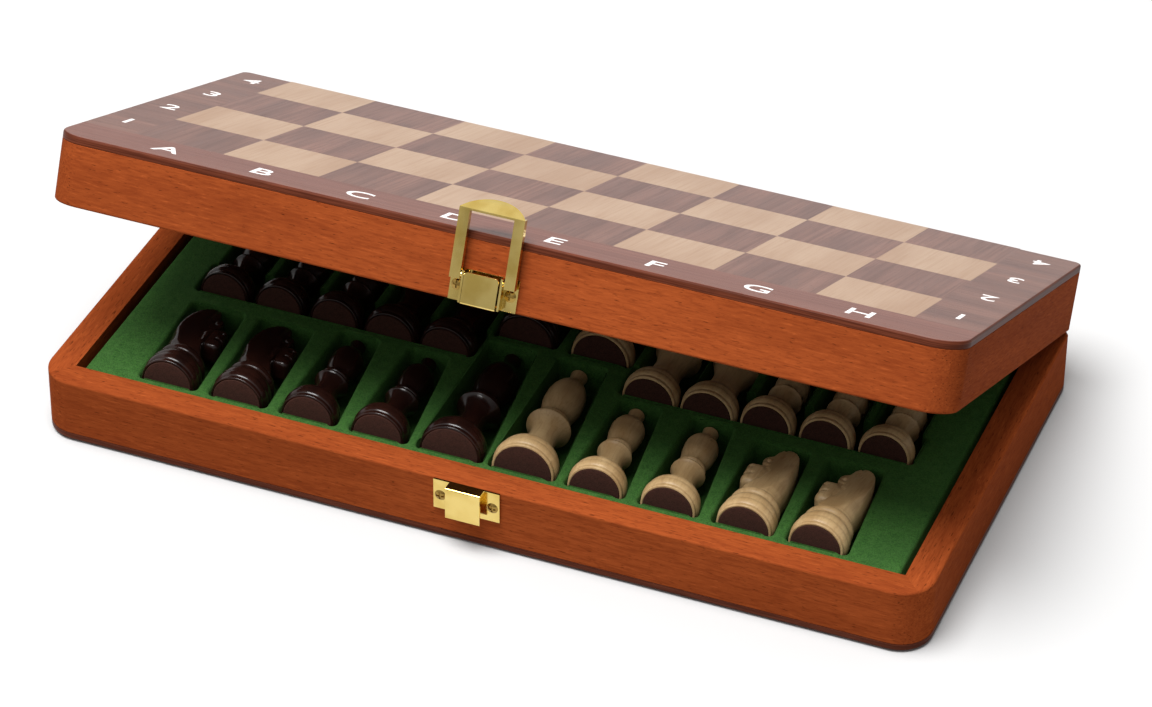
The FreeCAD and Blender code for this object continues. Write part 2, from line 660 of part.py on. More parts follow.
def plan_prism(corners, grow, z0, z1):
    """A prism on a pocket's plan, grown outwards, with rounded upright edges."""
    outline = []
    for index, (x, y) in enumerate(corners):
        before = Vector(*corners[index - 1], 0)
        here = Vector(x, y, 0)
        after = Vector(*corners[(index + 1) % 4], 0)
        into = (here - before).normalize()
        out = (after - here).normalize()
        bisector = Vector(into.y + out.y, -into.x - out.x, 0)
        outline.append(here + bisector * (grow / (1 + into.dot(out))))
    prism = polygon_slab([(point.x, point.y) for point in outline], z0, z1)
    upright = edges_where(prism, lambda box: box.ZLength > z1 - z0 - 0.01)
    return prism.makeFillet(POCKET_CORNER + grow, upright)


def tray():
    """A formed sheet: a flat deck with a skirt down to the panel and a cup for each pocket."""
    deck = rounded_slab(-TRAY_HALF_LENGTH, TRAY_HALF_LENGTH, TRAY_FRONT, TRAY_BACK,
                        PANEL_THICKNESS, TRAY_TOP, 2.0, 2.0)
    deck = deck.cut(block(-TRAY_HALF_LENGTH + TRAY_WALL, TRAY_HALF_LENGTH - TRAY_WALL,
                          TRAY_FRONT + TRAY_WALL, TRAY_BACK - TRAY_WALL,
                          0, TRAY_TOP - TRAY_WALL))
    cups = []
    hollows = []
    for corners, floor in pockets():
        cups.append(plan_prism(corners, TRAY_WALL, floor - TRAY_WALL, TRAY_TOP))
        hollows.append(plan_prism(corners, 0, floor, TRAY_TOP + 1))
    return deck.multiFuse(cups).cut(hollows[0].multiFuse(hollows[1:])).removeSplitter()


# ---------------------------------------------------------------- assembly
def export_case():
    catch_screw_height = RIM_PLANE - 6.2
    clasp_screw_height = RIM_PLANE + 5.4
    for name, piece in rails(catch_screw_height).items():
        export(piece, "base_" + name)
    for name, piece in rails(2 * RIM_PLANE - clasp_screw_height).items():
        export(opened(mirrored_to_lid(piece)), "lid_" + name)
    export(panel(), "base_panel")
    export(opened(mirrored_to_lid(panel())), "lid_panel")
    export(squares(1), "base_dark_squares")
    export(squares(0), "base_light_squares")
    export(opened(mirrored_to_lid(squares(0))), "lid_dark_squares")
    export(opened(mirrored_to_lid(squares(1))), "lid_light_squares")
    export(tray(), "tray")
    export(catch_plate(catch_screw_height), "catch_plate")
    export(plate_screws(catch_screw_height), "catch_screws")
    export(opened(clasp_plate(clasp_screw_height)), "clasp_plate")
    export(opened(plate_screws(clasp_screw_height)), "clasp_screws")
    export(opened(clasp_bail()), "clasp_bail")


def export_hinges():
    for name, side in SIDES.items():
        export(hinge_leaf(side, (0, 2), HINGE_PIN_RADIUS + 0.01), name + "_base_leaf")
        lid_leaf = mirrored_to_lid(hinge_leaf(side, (1,), HINGE_PIN_RADIUS + 0.06))
        export(opened(lid_leaf), name + "_lid_leaf")
        export(hinge_pin(side), name + "_hinge_pin")
    export(hinge_screws(), "base_hinge_screws")
    export(opened(mirrored_to_lid(hinge_screws())), "lid_hinge_screws")


def export_men():
    for name, kind, colour, x, y, yaw in row_places():
        export(lying(kind, colour, x, y, yaw), name)


os.makedirs("parts", exist_ok=True)
export_case()
export_hinges()
export_men()
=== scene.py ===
import json
import math

import bmesh
import bpy
import numpy as np
from mathutils import Matrix, Vector


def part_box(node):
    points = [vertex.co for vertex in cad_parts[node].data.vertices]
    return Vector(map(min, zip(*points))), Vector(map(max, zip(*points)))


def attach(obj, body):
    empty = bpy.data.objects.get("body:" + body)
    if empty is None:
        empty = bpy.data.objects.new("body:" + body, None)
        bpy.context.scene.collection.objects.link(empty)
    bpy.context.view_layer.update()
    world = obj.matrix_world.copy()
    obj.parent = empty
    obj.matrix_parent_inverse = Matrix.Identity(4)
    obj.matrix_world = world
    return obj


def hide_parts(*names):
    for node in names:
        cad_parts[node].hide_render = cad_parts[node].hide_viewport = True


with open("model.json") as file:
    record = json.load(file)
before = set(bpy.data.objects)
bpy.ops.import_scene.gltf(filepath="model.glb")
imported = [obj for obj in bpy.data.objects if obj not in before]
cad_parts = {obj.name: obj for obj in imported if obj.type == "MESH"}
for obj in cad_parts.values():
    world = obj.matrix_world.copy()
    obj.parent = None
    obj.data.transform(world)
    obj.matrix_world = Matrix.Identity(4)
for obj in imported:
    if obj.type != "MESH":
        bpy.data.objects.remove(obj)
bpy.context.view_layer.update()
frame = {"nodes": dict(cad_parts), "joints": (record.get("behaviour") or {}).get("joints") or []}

# Looks for a folding chess cassette. Metres, in the CAD's own frame: the origin is the middle
# of the base's underside, +X along the length, the clasp at -Y, the hinge at +Y, +Z up.
# The lid stands open at rest. "Shut" coordinates are those of the lid before it was opened.

MM = 0.001

HINGE = next(joint for joint in frame["joints"] if joint["name"] == "lid_hinge")
HINGE_POINT = Vector(HINGE["pos_m"])
LID_ANGLE = math.radians(-HINGE["range_deg"][0])
OPENED = (Matrix.Translation(HINGE_POINT) @ Matrix.Rotation(-LID_ANGLE, 4, "X")
          @ Matrix.Translation(-HINGE_POINT))
RIM_PLANE = HINGE_POINT.z
SHUT_TOP = 2 * RIM_PLANE
BACK = 75 * MM                  # the case's back, from which the lettering is measured
FRONT_STRIP_Y = -52.8 * MM      # where the squares' front edge lies
FAR = 1e3                       # millimetres, further than anything in the set


# ---------------------------------------------------------------- mesh helpers
def plain_mesh(name, vertices, faces):
    mesh = bpy.data.meshes.new(name)
    mesh.from_pydata([tuple(v) for v in vertices], [], [tuple(f) for f in faces])
    return mesh


def finish_piece(name, mesh, body=None, material=None, smooth_angle=None,
                 place=None):
    mesh.validate()
    if smooth_angle is not None:
        mesh.shade_smooth()
        mesh.set_sharp_from_angle(angle=math.radians(smooth_angle))
    made = bpy.data.objects.new(name, mesh)
    bpy.context.scene.collection.objects.link(made)
    if material is not None:
        mesh.materials.append(material)
    if place is not None:
        made.matrix_world = place
    if body is not None:
        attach(made, body)
    return made


ON_AXIS = 1e-6                  # a radius that counts as nought
STRAIGHT = 1e-9                 # a bend that counts as none


def lathe(profile, segments=56, arc_steps=7):
    """Vertices and faces of a closed form turned about Z. Profile points are (radius, height),
    or (radius, height, middle radius, middle height) at the end of an arc."""
    path = [np.array(profile[0][:2], float)]
    for point in profile[1:]:
        end = np.array(point[:2], float)
        if len(point) == 4:
            path.extend(arc_points(path[-1], np.array(point[2:], float), end, arc_steps))
        path.append(end)
    vertices = []
    rings = []
    for radius, height in path:
        if radius < ON_AXIS:
            rings.append([len(vertices)])
            vertices.append((0.0, 0.0, height * MM))
        else:
            rings.append(list(range(len(vertices), len(vertices) + segments)))
            for index in range(segments):
                turn = 2 * math.pi * index / segments
                vertices.append((radius * MM * math.cos(turn), radius * MM * math.sin(turn),
                                 height * MM))
    faces = []
    if len(rings[0]) > 1:
        faces.append(rings[0][::-1])
    if len(rings[-1]) > 1:
        faces.append(rings[-1])
    for low, high in zip(rings, rings[1:]):
        for index in range(segments):
            after = (index + 1) % segments
            if len(low) == 1:
                faces.append((low[0], high[after], high[index]))
            elif len(high) == 1:
                faces.append((low[index], low[after], high[0]))
            else:
                faces.append((low[index], low[after], high[after], high[index]))
    return vertices, faces


def arc_points(start, middle, end, steps):
    """Points between start and end on the circle through the three."""
    a, b = middle - start, end - start
    cross = a[0] * b[1] - a[1] * b[0]
    if abs(cross) < STRAIGHT:
        return []
    offset = np.array([b[1] * (a @ a) - a[1] * (b @ b), a[0] * (b @ b) - b[0] * (a @ a)])
    centre = start + offset / (2 * cross)
    first = math.atan2(*(start - centre)[::-1])
    sweep = math.atan2(*(end - centre)[::-1]) - first
    halfway = math.atan2(*(middle - centre)[::-1]) - first
    sweep %= 2 * math.pi
    if halfway % (2 * math.pi) > sweep:
        sweep -= 2 * math.pi
    radius = math.hypot(*(start - centre))
    turns = [first + sweep * (index + 1) / (steps + 1) for index in range(steps)]
    return [centre + radius * np.array([math.cos(t), math.sin(t)]) for t in turns]


# ---------------------------------------------------------------- node helpers
def srgb(red, green, blue):
    values = [c / 255 for c in (red, green, blue)]
    linear = [v / 12.92 if v <= 0.04045 else ((v + 0.055) / 1.055) ** 2.4 for v in values]
    return (*linear, 1.0)


class Shader:
    """A material under construction: add() makes a node and links or sets its inputs."""

    def __init__(self, name, **settings):
        self.material = bpy.data.materials.new(name)
        self.material.use_nodes = True
        self.tree = self.material.node_tree
        self.surface = self.tree.nodes["Principled BSDF"]
        for socket, value in settings.items():
            self.surface.inputs[socket.replace("_", " ")].default_value = value

    def add(self, kind, inputs=None, **properties):
        made = self.tree.nodes.new(kind)
        for name, value in properties.items():
            setattr(made, name, value)
        for socket, value in (inputs or {}).items():
            self.put(made.inputs[socket], value)
        return made

    def put(self, socket, value):
        if isinstance(value, bpy.types.NodeSocket):
            self.tree.links.new(value, socket)
        else:
            socket.default_value = value

    def math(self, operation, *values):
        return self.add("ShaderNodeMath", dict(enumerate(values)), operation=operation).outputs[0]

    def ramp(self, value, low, high):
        """0 where value is at most low, 1 where it is at least high."""
        return self.add("ShaderNodeMapRange", {"Value": value, "From Min": low, "From Max": high},
                        clamp=True, interpolation_type="SMOOTHSTEP").outputs["Result"]

    def mix(self, share, a, b):
        made = self.add("ShaderNodeMix", data_type="RGBA", blend_type="MIX")
        self.put(made.inputs["Factor"], share)
        self.put(made.inputs["A"], a)
        self.put(made.inputs["B"], b)
        return made.outputs["Result"]

    def two_tone(self, pattern, low, high, first, second):
        """The first tone where the pattern is low, the second where it is high."""
        return self.mix(self.ramp(pattern, low, high), srgb(*first), srgb(*second))

    def stain(self, colour, pattern, low, high, share, tone):
        """The colour, with a share of the tone over it where the pattern is high."""
        return self.mix(self.math("MULTIPLY", self.ramp(pattern, low, high), share), colour,
                        srgb(*tone))

    def noise(self, vector, scale, detail, rough, distortion=0.0):
        return self.add("ShaderNodeTexNoise", {"Vector": vector, "Scale": scale,
                                               "Detail": detail, "Roughness": rough,
                                               "Distortion": distortion}).outputs["Fac"]

    def grain(self, vector, axis, along, across, detail, rough, distortion=0.0):
        """Noise drawn out along an axis: the scales are in cycles a metre."""
        scales = [across, across, across]
        scales["xyz".index(axis)] = along
        drawn = self.add("ShaderNodeVectorMath", {0: vector, 1: scales},
                         operation="MULTIPLY").outputs["Vector"]
        return self.noise(drawn, 1.0, detail, rough, distortion)

    def coordinates(self, lid=False):
        """Object coordinates; on the lid, turned back to where the lid is shut."""
        here = self.add("ShaderNodeTexCoord").outputs["Object"]
        if not lid:
            return here
        shut = OPENED.inverted()
        return self.add("ShaderNodeMapping", {"Vector": here, "Location": shut.to_translation(),
                                              "Rotation": shut.to_euler()}).outputs["Vector"]

    def split(self, vector):
        return self.add("ShaderNodeSeparateXYZ", {0: vector}).outputs

    def bump(self, height, strength, distance):
        return self.add("ShaderNodeBump", {"Height": height, "Strength": strength,
                                           "Distance": distance}).outputs["Normal"]

    def done(self, colour, roughness=None, normal=None):
        self.put(self.surface.inputs["Base Color"], colour)
        if roughness is not None:
            self.put(self.surface.inputs["Roughness"], roughness)
        if normal is not None:
            self.put(self.surface.inputs["Normal"], normal)
        return self.material


# ---------------------------------------------------------------- materials
def case_wood(name, axis, lid):
    """Red-brown stained hardwood under satin lacquer, with short dark pores along the grain."""
    s = Shader(name, IOR=1.012)
    p = s.coordinates(lid)
    clouds = s.grain(p, axis, along=9, across=45, detail=3, rough=0.55)
    fibres = s.grain(p, axis, along=170, across=1700, detail=3, rough=0.65, distortion=0.3)
    pores = s.grain(p, axis, along=300, across=2400, detail=2, rough=0.5)
    bands = s.grain(p, axis, along=5, across=190, detail=2, rough=0.5, distortion=0.4)
    colour = s.two_tone(clouds, 0.3, 0.72, (118, 54, 24), (133, 63, 29))
    colour = s.stain(colour, bands, 0.45, 0.75, 0.35, (103, 43, 19))
    colour = s.stain(colour, fibres, 0.44, 0.66, 0.5, (96, 39, 17))
    colour = s.stain(colour, fibres, 0.42, 0.28, 0.4, (156, 78, 38))
    flecks = s.ramp(pores, 0.62, 0.71)
    colour = s.mix(s.math("MULTIPLY", flecks, 0.7), colour, srgb(58, 22, 9))
    rough = s.math("MULTIPLY_ADD", fibres, 0.14, 0.27)
    relief = s.math("SUBTRACT", s.math("MULTIPLY", fibres, 0.4), flecks)
    return s.done(colour, rough, s.bump(relief, 0.25, 0.08 * MM))


def shaded_edge_wood(name, lid):
    """The panel's bare edge: dark red-brown, with fine layers, darkened further with painted shade
    for the shadow line under the panel's top edge.
    """
    s = Shader(name, IOR=1.12, Roughness=0.4)
    p = s.coordinates(lid)
    layers = s.grain(p, "z", along=2400, across=30, detail=2, rough=0.5)
    fibres = s.grain(p, "z", along=1600, across=120, detail=3, rough=0.6)
    # both tones are the bare edge's dark wood plus painted shade standing for the shadow line along
    # the panel's edge
    colour = s.two_tone(layers, 0.35, 0.65, (66, 30, 18), (86, 43, 28))
    colour = s.stain(colour, fibres, 0.4, 0.7, 0.4, (48, 20, 12))
    return s.done(colour, None, s.bump(fibres, 0.15, 0.05 * MM))


def dark_veneer(name, axis, lid, strip=False):
    """Dark brown veneer; the border's front strip is cut the other way and is redder."""
    s = Shader(name, Specular_IOR_Level=0.42)
    p = s.coordinates(lid)
    clouds = s.grain(p, axis, along=14, across=90, detail=3, rough=0.55)
    streaks = s.grain(p, axis, along=16, across=900, detail=4, rough=0.6, distortion=0.6)
    pores = s.grain(p, axis, along=330, across=3600, detail=2, rough=0.5)
    colour = s.two_tone(clouds, 0.3, 0.7, (80, 48, 38), (102, 66, 53))
    colour = s.stain(colour, streaks, 0.4, 0.68, 0.55, (66, 38, 29))
    colour = s.stain(colour, pores, 0.6, 0.7, 0.5, (40, 22, 17))
    if strip:
        across = s.split(p)[1]
        front = s.ramp(across, FRONT_STRIP_Y - 0.1 * MM, FRONT_STRIP_Y + 0.1 * MM)
        tint = s.mix(0.6, colour, srgb(98, 48, 32))
        tint = s.stain(tint, streaks, 0.4, 0.68, 0.4, (70, 30, 19))
        colour = s.mix(front, tint, colour)
    rough = s.math("MULTIPLY_ADD", streaks, 0.12, 0.30)
    relief = s.math("SUBTRACT", s.math("MULTIPLY", streaks, 0.5), s.ramp(pores, 0.6, 0.7))
    return s.done(colour, rough, s.bump(relief, 0.2, 0.06 * MM))


def light_veneer(name, axis, lid):
    s = Shader(name, Specular_IOR_Level=0.42)
    p = s.coordinates(lid)
    clouds = s.grain(p, axis, along=12, across=60, detail=3, rough=0.5)
    fibres = s.grain(p, axis, along=25, across=1100, detail=3, rough=0.6, distortion=0.4)
    rays = s.grain(p, axis, along=420, across=3000, detail=2, rough=0.5)
    colour = s.two_tone(clouds, 0.3, 0.7, (134, 106, 83), (146, 121, 99))
    colour = s.stain(colour, fibres, 0.45, 0.72, 0.35, (124, 94, 70))
    colour = s.stain(colour, rays, 0.62, 0.72, 0.3, (116, 84, 60))
    rough = s.math("MULTIPLY_ADD", fibres, 0.12, 0.32)
    return s.done(colour, rough, s.bump(fibres, 0.12, 0.05 * MM))


def flock():
    s = Shader("green flock", Roughness=0.95, Specular_IOR_Level=0.15, Sheen_Weight=0.35,
               Sheen_Roughness=0.4, Sheen_Tint=srgb(90, 140, 70))
    p = s.coordinates()
    fuzz = s.noise(p, scale=2600, detail=2, rough=0.6)
    mottle = s.noise(p, scale=420, detail=3, rough=0.6)
    patches = s.noise(p, scale=45, detail=2, rough=0.5)
    colour = s.two_tone(fuzz, 0.3, 0.7, (28, 57, 21), (49, 88, 34))
    colour = s.stain(colour, mottle, 0.4, 0.7, 0.4, (56, 90, 42))
    colour = s.stain(colour, patches, 0.45, 0.7, 0.25, (29, 58, 23))
    return s.done(colour, None, s.bump(s.math("ADD", fuzz, mottle), 0.7, 0.25 * MM))


def felt():
    s = Shader("brown felt", Roughness=0.95, Specular_IOR_Level=0.1, Sheen_Weight=0.25,
               Sheen_Roughness=0.5, Sheen_Tint=srgb(120, 84, 70))
    p = s.coordinates()
    fuzz = s.noise(p, scale=3200, detail=3, rough=0.7)
    mottle = s.noise(p, scale=500, detail=2, rough=0.6)
    colour = s.two_tone(fuzz, 0.3, 0.7, (34, 20, 16), (60, 37, 30))
    colour = s.stain(colour, mottle, 0.4, 0.7, 0.4, (60, 34, 28))
    return s.done(colour, None, s.bump(fuzz, 0.6, 0.2 * MM))


def brass(name, dark, light, least_rough):
    s = Shader(name, Metallic=1.0)
    p = s.coordinates()
    brushed = s.noise(p, scale=900, detail=3, rough=0.6)
    cloud = s.noise(p, scale=120, detail=2, rough=0.5)
    colour = s.two_tone(cloud, 0.3, 0.7, dark, light)
    rough = s.math("MULTIPLY_ADD", brushed, 0.10, least_rough)
    return s.done(colour, rough, s.bump(cloud, 0.04, 0.2 * MM))


def men_wood(name, dark):
    """Turned wood: grain along the man's height and fine rings left by the turning tool."""
    if dark:
        s = Shader(name, Specular_IOR_Level=0.25, Coat_Weight=0.12, Coat_Roughness=0.1)
    else:
        s = Shader(name, Specular_IOR_Level=0.3)
    p = s.coordinates()
    shift = s.add("ShaderNodeObjectInfo").outputs["Random"]
    aside = s.add("ShaderNodeCombineXYZ", {0: shift, 1: shift, 2: shift}).outputs[0]
    apart = s.add("ShaderNodeVectorMath", {0: p, 1: aside}, operation="ADD").outputs[0]
    fibres = s.grain(apart, "z", along=60, across=1300, detail=3, rough=0.6, distortion=0.4)
    clouds = s.grain(apart, "z", along=30, across=160, detail=3, rough=0.5)
    rings = s.grain(apart, "z", along=2600, across=12, detail=2, rough=0.5)
    if dark:
        colour = s.two_tone(clouds, 0.3, 0.7, (20, 9, 7), (34, 16, 11))
        colour = s.stain(colour, fibres, 0.45, 0.7, 0.4, (24, 8, 6))
        rough = s.math("MULTIPLY_ADD", fibres, 0.1, 0.16)
    else:
        colour = s.two_tone(clouds, 0.3, 0.7, (150, 122, 83), (172, 146, 106))
        colour = s.stain(colour, fibres, 0.45, 0.7, 0.4, (126, 96, 60))
        colour = s.stain(colour, rings, 0.55, 0.7, 0.18, (138, 98, 58))
        rough = s.math("MULTIPLY_ADD", fibres, 0.15, 0.34)
    relief = s.math("ADD", s.math("MULTIPLY", fibres, 0.5), rings)
    return s.done(colour, rough, s.bump(relief, 0.12, 0.08 * MM))


def white_paint():
    s = Shader("white lettering", Roughness=0.4)
    worn = s.noise(s.coordinates(), scale=900, detail=3, rough=0.6)
    colour = s.two_tone(worn, 0.35, 0.7, (198, 195, 194), (216, 213, 211))
    return s.done(colour, None, s.bump(worn, 0.1, 0.03 * MM))


CASE_WOOD = {(axis, lid): case_wood("case wood " + axis + (" lid" if lid else ""), axis, lid)
             for axis in "xy" for lid in (False, True)}
BORDER = {lid: dark_veneer("border veneer" + (" lid" if lid else ""), "x", lid, strip=True)
          for lid in (False, True)}
DARK = {lid: dark_veneer("dark veneer" + (" lid" if lid else ""), "y", lid)
        for lid in (False, True)}
LIGHT = {lid: light_veneer("light veneer" + (" lid" if lid else ""), "y", lid)
         for lid in (False, True)}
# the panel edges' material: bare dark wood, darkened further as painted shade for the shadow line
# there
EDGE_WITH_SHADE = {lid: shaded_edge_wood("panel edge and shadow line" + (" lid" if lid else ""), lid) for lid in (False, True)}
FLOCK = flock()
FELT = felt()
BRASS = brass("polished brass", (212, 182, 98), (232, 206, 126), 0.08)
SCREW_BRASS = brass("screw brass", (140, 112, 56), (166, 136, 72), 0.2)
MEN_WOOD = {"dark": men_wood("dark men", True), "light": men_wood("light men", False)}
PAINT = white_paint()


def dress(node, material):
    mesh = frame["nodes"][node].data
    mesh.materials.clear()
    mesh.materials.append(material)


for half, lid in (("base", False), ("lid", True)):
    for side, axis in (("front", "x"), ("back", "x"), ("left", "y"), ("right", "y")):
        dress(half + "_" + side + "_rail", CASE_WOOD[axis, lid])
    dress(half + "_panel", BORDER[lid])
    dress(half + "_dark_squares", DARK[lid])
    dress(half + "_light_squares", LIGHT[lid])
for node in frame["nodes"]:
    if node.endswith(("_leaf", "_screws", "_pin")) or node.startswith(("clasp", "catch")):
        dress(node, SCREW_BRASS if node.endswith("_screws") else BRASS)


BRASS_EDGE = 0.28 * MM
WELD = 1e-6                     # metres between corners that are made one
FLAT_ANGLE, SHARP_ANGLE, BRASS_SMOOTH = 1, 40, 12
PANEL_FACE = 0.9                # how upright a normal is on a panel's faces, not its edges


def bevelled(node, body):
    """Stands a copy of the node, with its sharp edges rounded off, in the node's place."""
    source = frame["nodes"][node]
    mesh = source.data.copy()
    mesh.transform(source.matrix_world)
    work = bmesh.new()
    work.from_mesh(mesh)
    bmesh.ops.remove_doubles(work, verts=work.verts, dist=WELD)
    bmesh.ops.dissolve_limit(work, angle_limit=math.radians(FLAT_ANGLE), verts=work.verts,
                             edges=work.edges)
    sharp = [edge for edge in work.edges if len(edge.link_faces) == 2
             and edge.calc_face_angle() > math.radians(SHARP_ANGLE)]
    bmesh.ops.bevel(work, geom=sharp, offset=BRASS_EDGE, segments=3, profile=0.5,
                    affect="EDGES", clamp_overlap=True)
    work.to_mesh(mesh)
    work.free()
    made = finish_piece(node + "_bevelled", mesh, body, None, BRASS_SMOOTH)
    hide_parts(node)


for node, body in (("clasp_plate", "lid"), ("catch_plate", "base"), ("clasp_bail", "bail")):
    bevelled(node, body)


def edged_panel(half, turn_back):
    """Stands a copy of a panel in its place, with bare wood round its edges, coloured dark partly
    as painted shade for the shadow line there.
    """
    source = frame["nodes"][half + "_panel"]
    mesh = source.data.copy()
    mesh.transform(source.matrix_world)
    made = finish_piece(half + "_faced_panel", mesh, half)
    mesh.materials.append(EDGE_WITH_SHADE[half == "lid"])
    for face in mesh.polygons:
        if abs((turn_back @ face.normal).z) < PANEL_FACE:
            face.material_index = 1
    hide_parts(half + "_panel")


edged_panel("base", Matrix.Identity(3))
edged_panel("lid", OPENED.inverted().to_3x3())


# ---------------------------------------------------------------- men
# Height, foot radius and nose-down lying angle of each kind, as the CAD has them.
SIZES = {"king": (60.0, 10.8, 4.0), "queen": (56.0, 10.6, 4.0), "bishop": (46.5, 9.5, 3.5),
         "knight": (43.0, 9.5, 3.0), "rook": (37.0, 9.5, 3.0), "pawn": (32.0, 9.1, 6.5)}
FRONT_KINDS = ("king", "bishop_inner", "bishop_outer", "knight_inner", "knight_outer")
# Yaw, and how far each man of the front row lies off its pocket's middle.
FRONT_LIE = {
    "light": ((4.0, 0.1), (4.0, -0.1), (3.0, -0.2), (1.5, 0.4), (-1.0, -0.5)),
    "dark": ((2.5, -0.1), (2.0, -0.4), (3.0, -0.2), (1.0, -0.4), (2.0, -0.4)),
}
FRONT_PITCH = 24.5
FIRST_BACK_X = 35.3
BACK_PITCH = 19.8
BACK_COUNT = 5
ROYAL_X = 13.0
FACE_INSET = 0.6
PAD_BORDER = 0.7
KNEE_SHARE = 0.72
STAND_TOP = 4.8
STAND_INSET = 0.4
PAD_RECESS = 0.4
PAD_THICKNESS = 0.6
PAD_GAP = 0.1
TURNED_SMOOTH, KNIGHT_SMOOTH, PAD_SMOOTH = 35, 50, 40


def stand(radius):
    """Profile of a man's lowest part: felt recess, face, swelling band and groove."""
    face = radius - FACE_INSET
    recess = face - PAD_BORDER
    return [(0, PAD_RECESS), (recess, PAD_RECESS), (recess, 0.08), (recess + 0.08, 0),
            (face - 0.25, 0), (face + 0.05, 0.3, face - 0.05, 0.1), (face + 0.12, 0.9),
            (face - 0.02, 1.25), (face - 0.05, 1.45), (face + 0.15, 1.65),
            (radius, 3.2, radius - 0.12, 2.4), (radius, 3.9), (radius - 0.1, 4.1),
            (radius - 0.45, 4.4), (radius - 0.48, 4.55), (radius - STAND_INSET, STAND_TOP)]


def foot(radius, neck_radius, neck_height):
    """A stand with a shoulder that rounds over and then sweeps in to the neck."""
    knee_radius = KNEE_SHARE * radius
    knee_height = STAND_TOP + 0.52 * (neck_height - STAND_TOP)
    over_radius = (radius - STAND_INSET + knee_radius) / 2 + 0.6
    over_height = (STAND_TOP + knee_height) / 2 + 0.45
    sweep_radius = (knee_radius + neck_radius) / 2 - 0.45
    sweep_height = (knee_height + neck_height) / 2 - 0.3
    return stand(radius) + [(knee_radius, knee_height, over_radius, over_height),
                            (neck_radius, neck_height, sweep_radius, sweep_height)]


def cap(start_radius, start_height, top):
    """The arc of a ball's top, from a point of the profile up to the axis."""
    rise = top - start_height
    ball = (start_radius ** 2 + rise ** 2) / (2 * rise)
    turn = math.atan2(start_radius, start_height - (top - ball)) / 2
    return (0, top, ball * math.sin(turn), top - ball + ball * math.cos(turn))


PROFILES = {
    "king": foot(10.8, 4.9, 14.5) + [
        (4.6, 19.2), (7.2, 26.2, 5.15, 23.3), (7.2, 27.3, 7.5, 26.8), (5.6, 28.5),
        (5.1, 28.8), (5.1, 31.3, 5.8, 30.0), (4.4, 31.8), (4.4, 33.2),
        (6.5, 43.0, 6.15, 37.6), (2.7, 53.4, 5.4, 49.2), (2.9, 58.4, 2.6, 56.0),
        cap(2.9, 58.4, 60.0)],
    "queen": foot(10.6, 4.9, 14.0) + [
        (4.6, 18.6), (7.2, 25.4, 5.1, 22.5), (7.2, 26.5, 7.5, 26.0), (5.5, 27.6),
        (5.0, 27.9), (5.0, 30.3, 5.7, 29.1), (4.3, 30.8), (4.3, 31.6),
        (6.9, 47.6, 4.5, 39.8),
        (5.4, 48.2), (2.4, 51.0, 4.4, 50.3), (2.0, 51.6), cap(2.0, 51.6, 56.0)],
    "bishop": foot(9.5, 4.5, 12.0) + [
        (4.2, 15.6), (5.5, 20.7, 4.5, 18.6), (5.5, 21.6, 5.75, 21.2), (4.6, 22.5),
        (4.3, 22.8), (4.3, 24.9, 4.95, 23.8), (3.8, 25.3), (3.8, 26.4),
        (5.4, 33.2, 5.05, 29.6),
        (2.4, 40.6, 4.4, 38.6), (2.7, 44.9, 2.4, 42.8), cap(2.7, 44.9, 46.5)],
    "rook": foot(9.5, 5.7, 12.5) + [
        (7.0, 26.2, 5.1, 19.6), (7.4, 27.0), (7.4, 28.8, 7.9, 27.9),
        (6.9, 29.6), (7.2, 37.0), (5.2, 37.0), (5.2, 34.2), (0, 34.2)],
    "pawn": foot(9.1, 4.4, 11.2) + [
        (5.4, 18.6, 3.9, 15.4), (5.4, 19.8, 5.8, 19.2), (3.6, 21.4), cap(3.6, 21.4, 32.0)],
    "knight": stand(9.5) + [
        (8.0, 8.8, 9.0, 7.2), (7.7, 9.2), (7.75, 9.5), (7.6, 12.6, 8.4, 11.0),
        (6.7, 14.0, 6.9, 13.4), (0, 14.2)],
}


def lying(kind, yaw):
    nose_down = SIZES[kind][2]
    return (Matrix.Rotation(math.radians(yaw), 4, "Z")
            @ Matrix.Rotation(math.radians(-90 - nose_down), 4, "X"))


def placed(kind, yaw, x, node):
    """Where a man lies in the place of its CAD node: x is its foot's middle."""
    turn = lying(kind, yaw)
    radius = SIZES[kind][1]
    face = radius - FACE_INSET
    rings = ((face - 0.4, 0), (face, 0.4), (radius, 3.0), (radius, 4.0),
             (face - PAD_BORDER - PAD_GAP, PAD_RECESS - PAD_THICKNESS))
    points = [turn @ Vector((r * MM * math.cos(t), r * MM * math.sin(t), height * MM))
              for t in np.linspace(0, 2 * math.pi, 361) for r, height in rings]
    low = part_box(node)[0]
    shift = Vector((x * MM, low.y - min(p.y for p in points), low.z - min(p.z for p in points)))
    return Matrix.Translation(shift) @ turn


def turned_mesh(kind):
    return plain_mesh(kind, *lathe(PROFILES[kind]))


def pad_mesh(radius):
    edge = radius - FACE_INSET - PAD_BORDER - PAD_GAP
    low = PAD_RECESS - PAD_THICKNESS
    profile = [(0, low), (edge - 0.25, low), (edge, low + 0.2, edge - 0.07, low + 0.06),
               (edge, PAD_RECESS), (0, PAD_RECESS)]
    return plain_mesh("pad", *lathe(profile, arc_steps=3))


def cut_notches(mesh, cutters):
    """The mesh less the cutters, each a closed mesh given as vertices and faces."""
    body = bpy.data.objects.new("body", mesh)
    bpy.context.scene.collection.objects.link(body)
    tools = []
    for vertices, faces in cutters:
        tool = bpy.data.objects.new("tool", plain_mesh("tool", vertices, faces))
        bpy.context.scene.collection.objects.link(tool)
        cut = body.modifiers.new("cut", "BOOLEAN")
        cut.operation = "DIFFERENCE"
        cut.solver = "EXACT"
        cut.object = tool
        tools.append(tool)
    bpy.context.view_layer.update()
    made = bpy.data.meshes.new_from_object(
        body.evaluated_get(bpy.context.evaluated_depsgraph_get()))
    for used in [body] + tools:
        bpy.data.objects.remove(used)
    return made


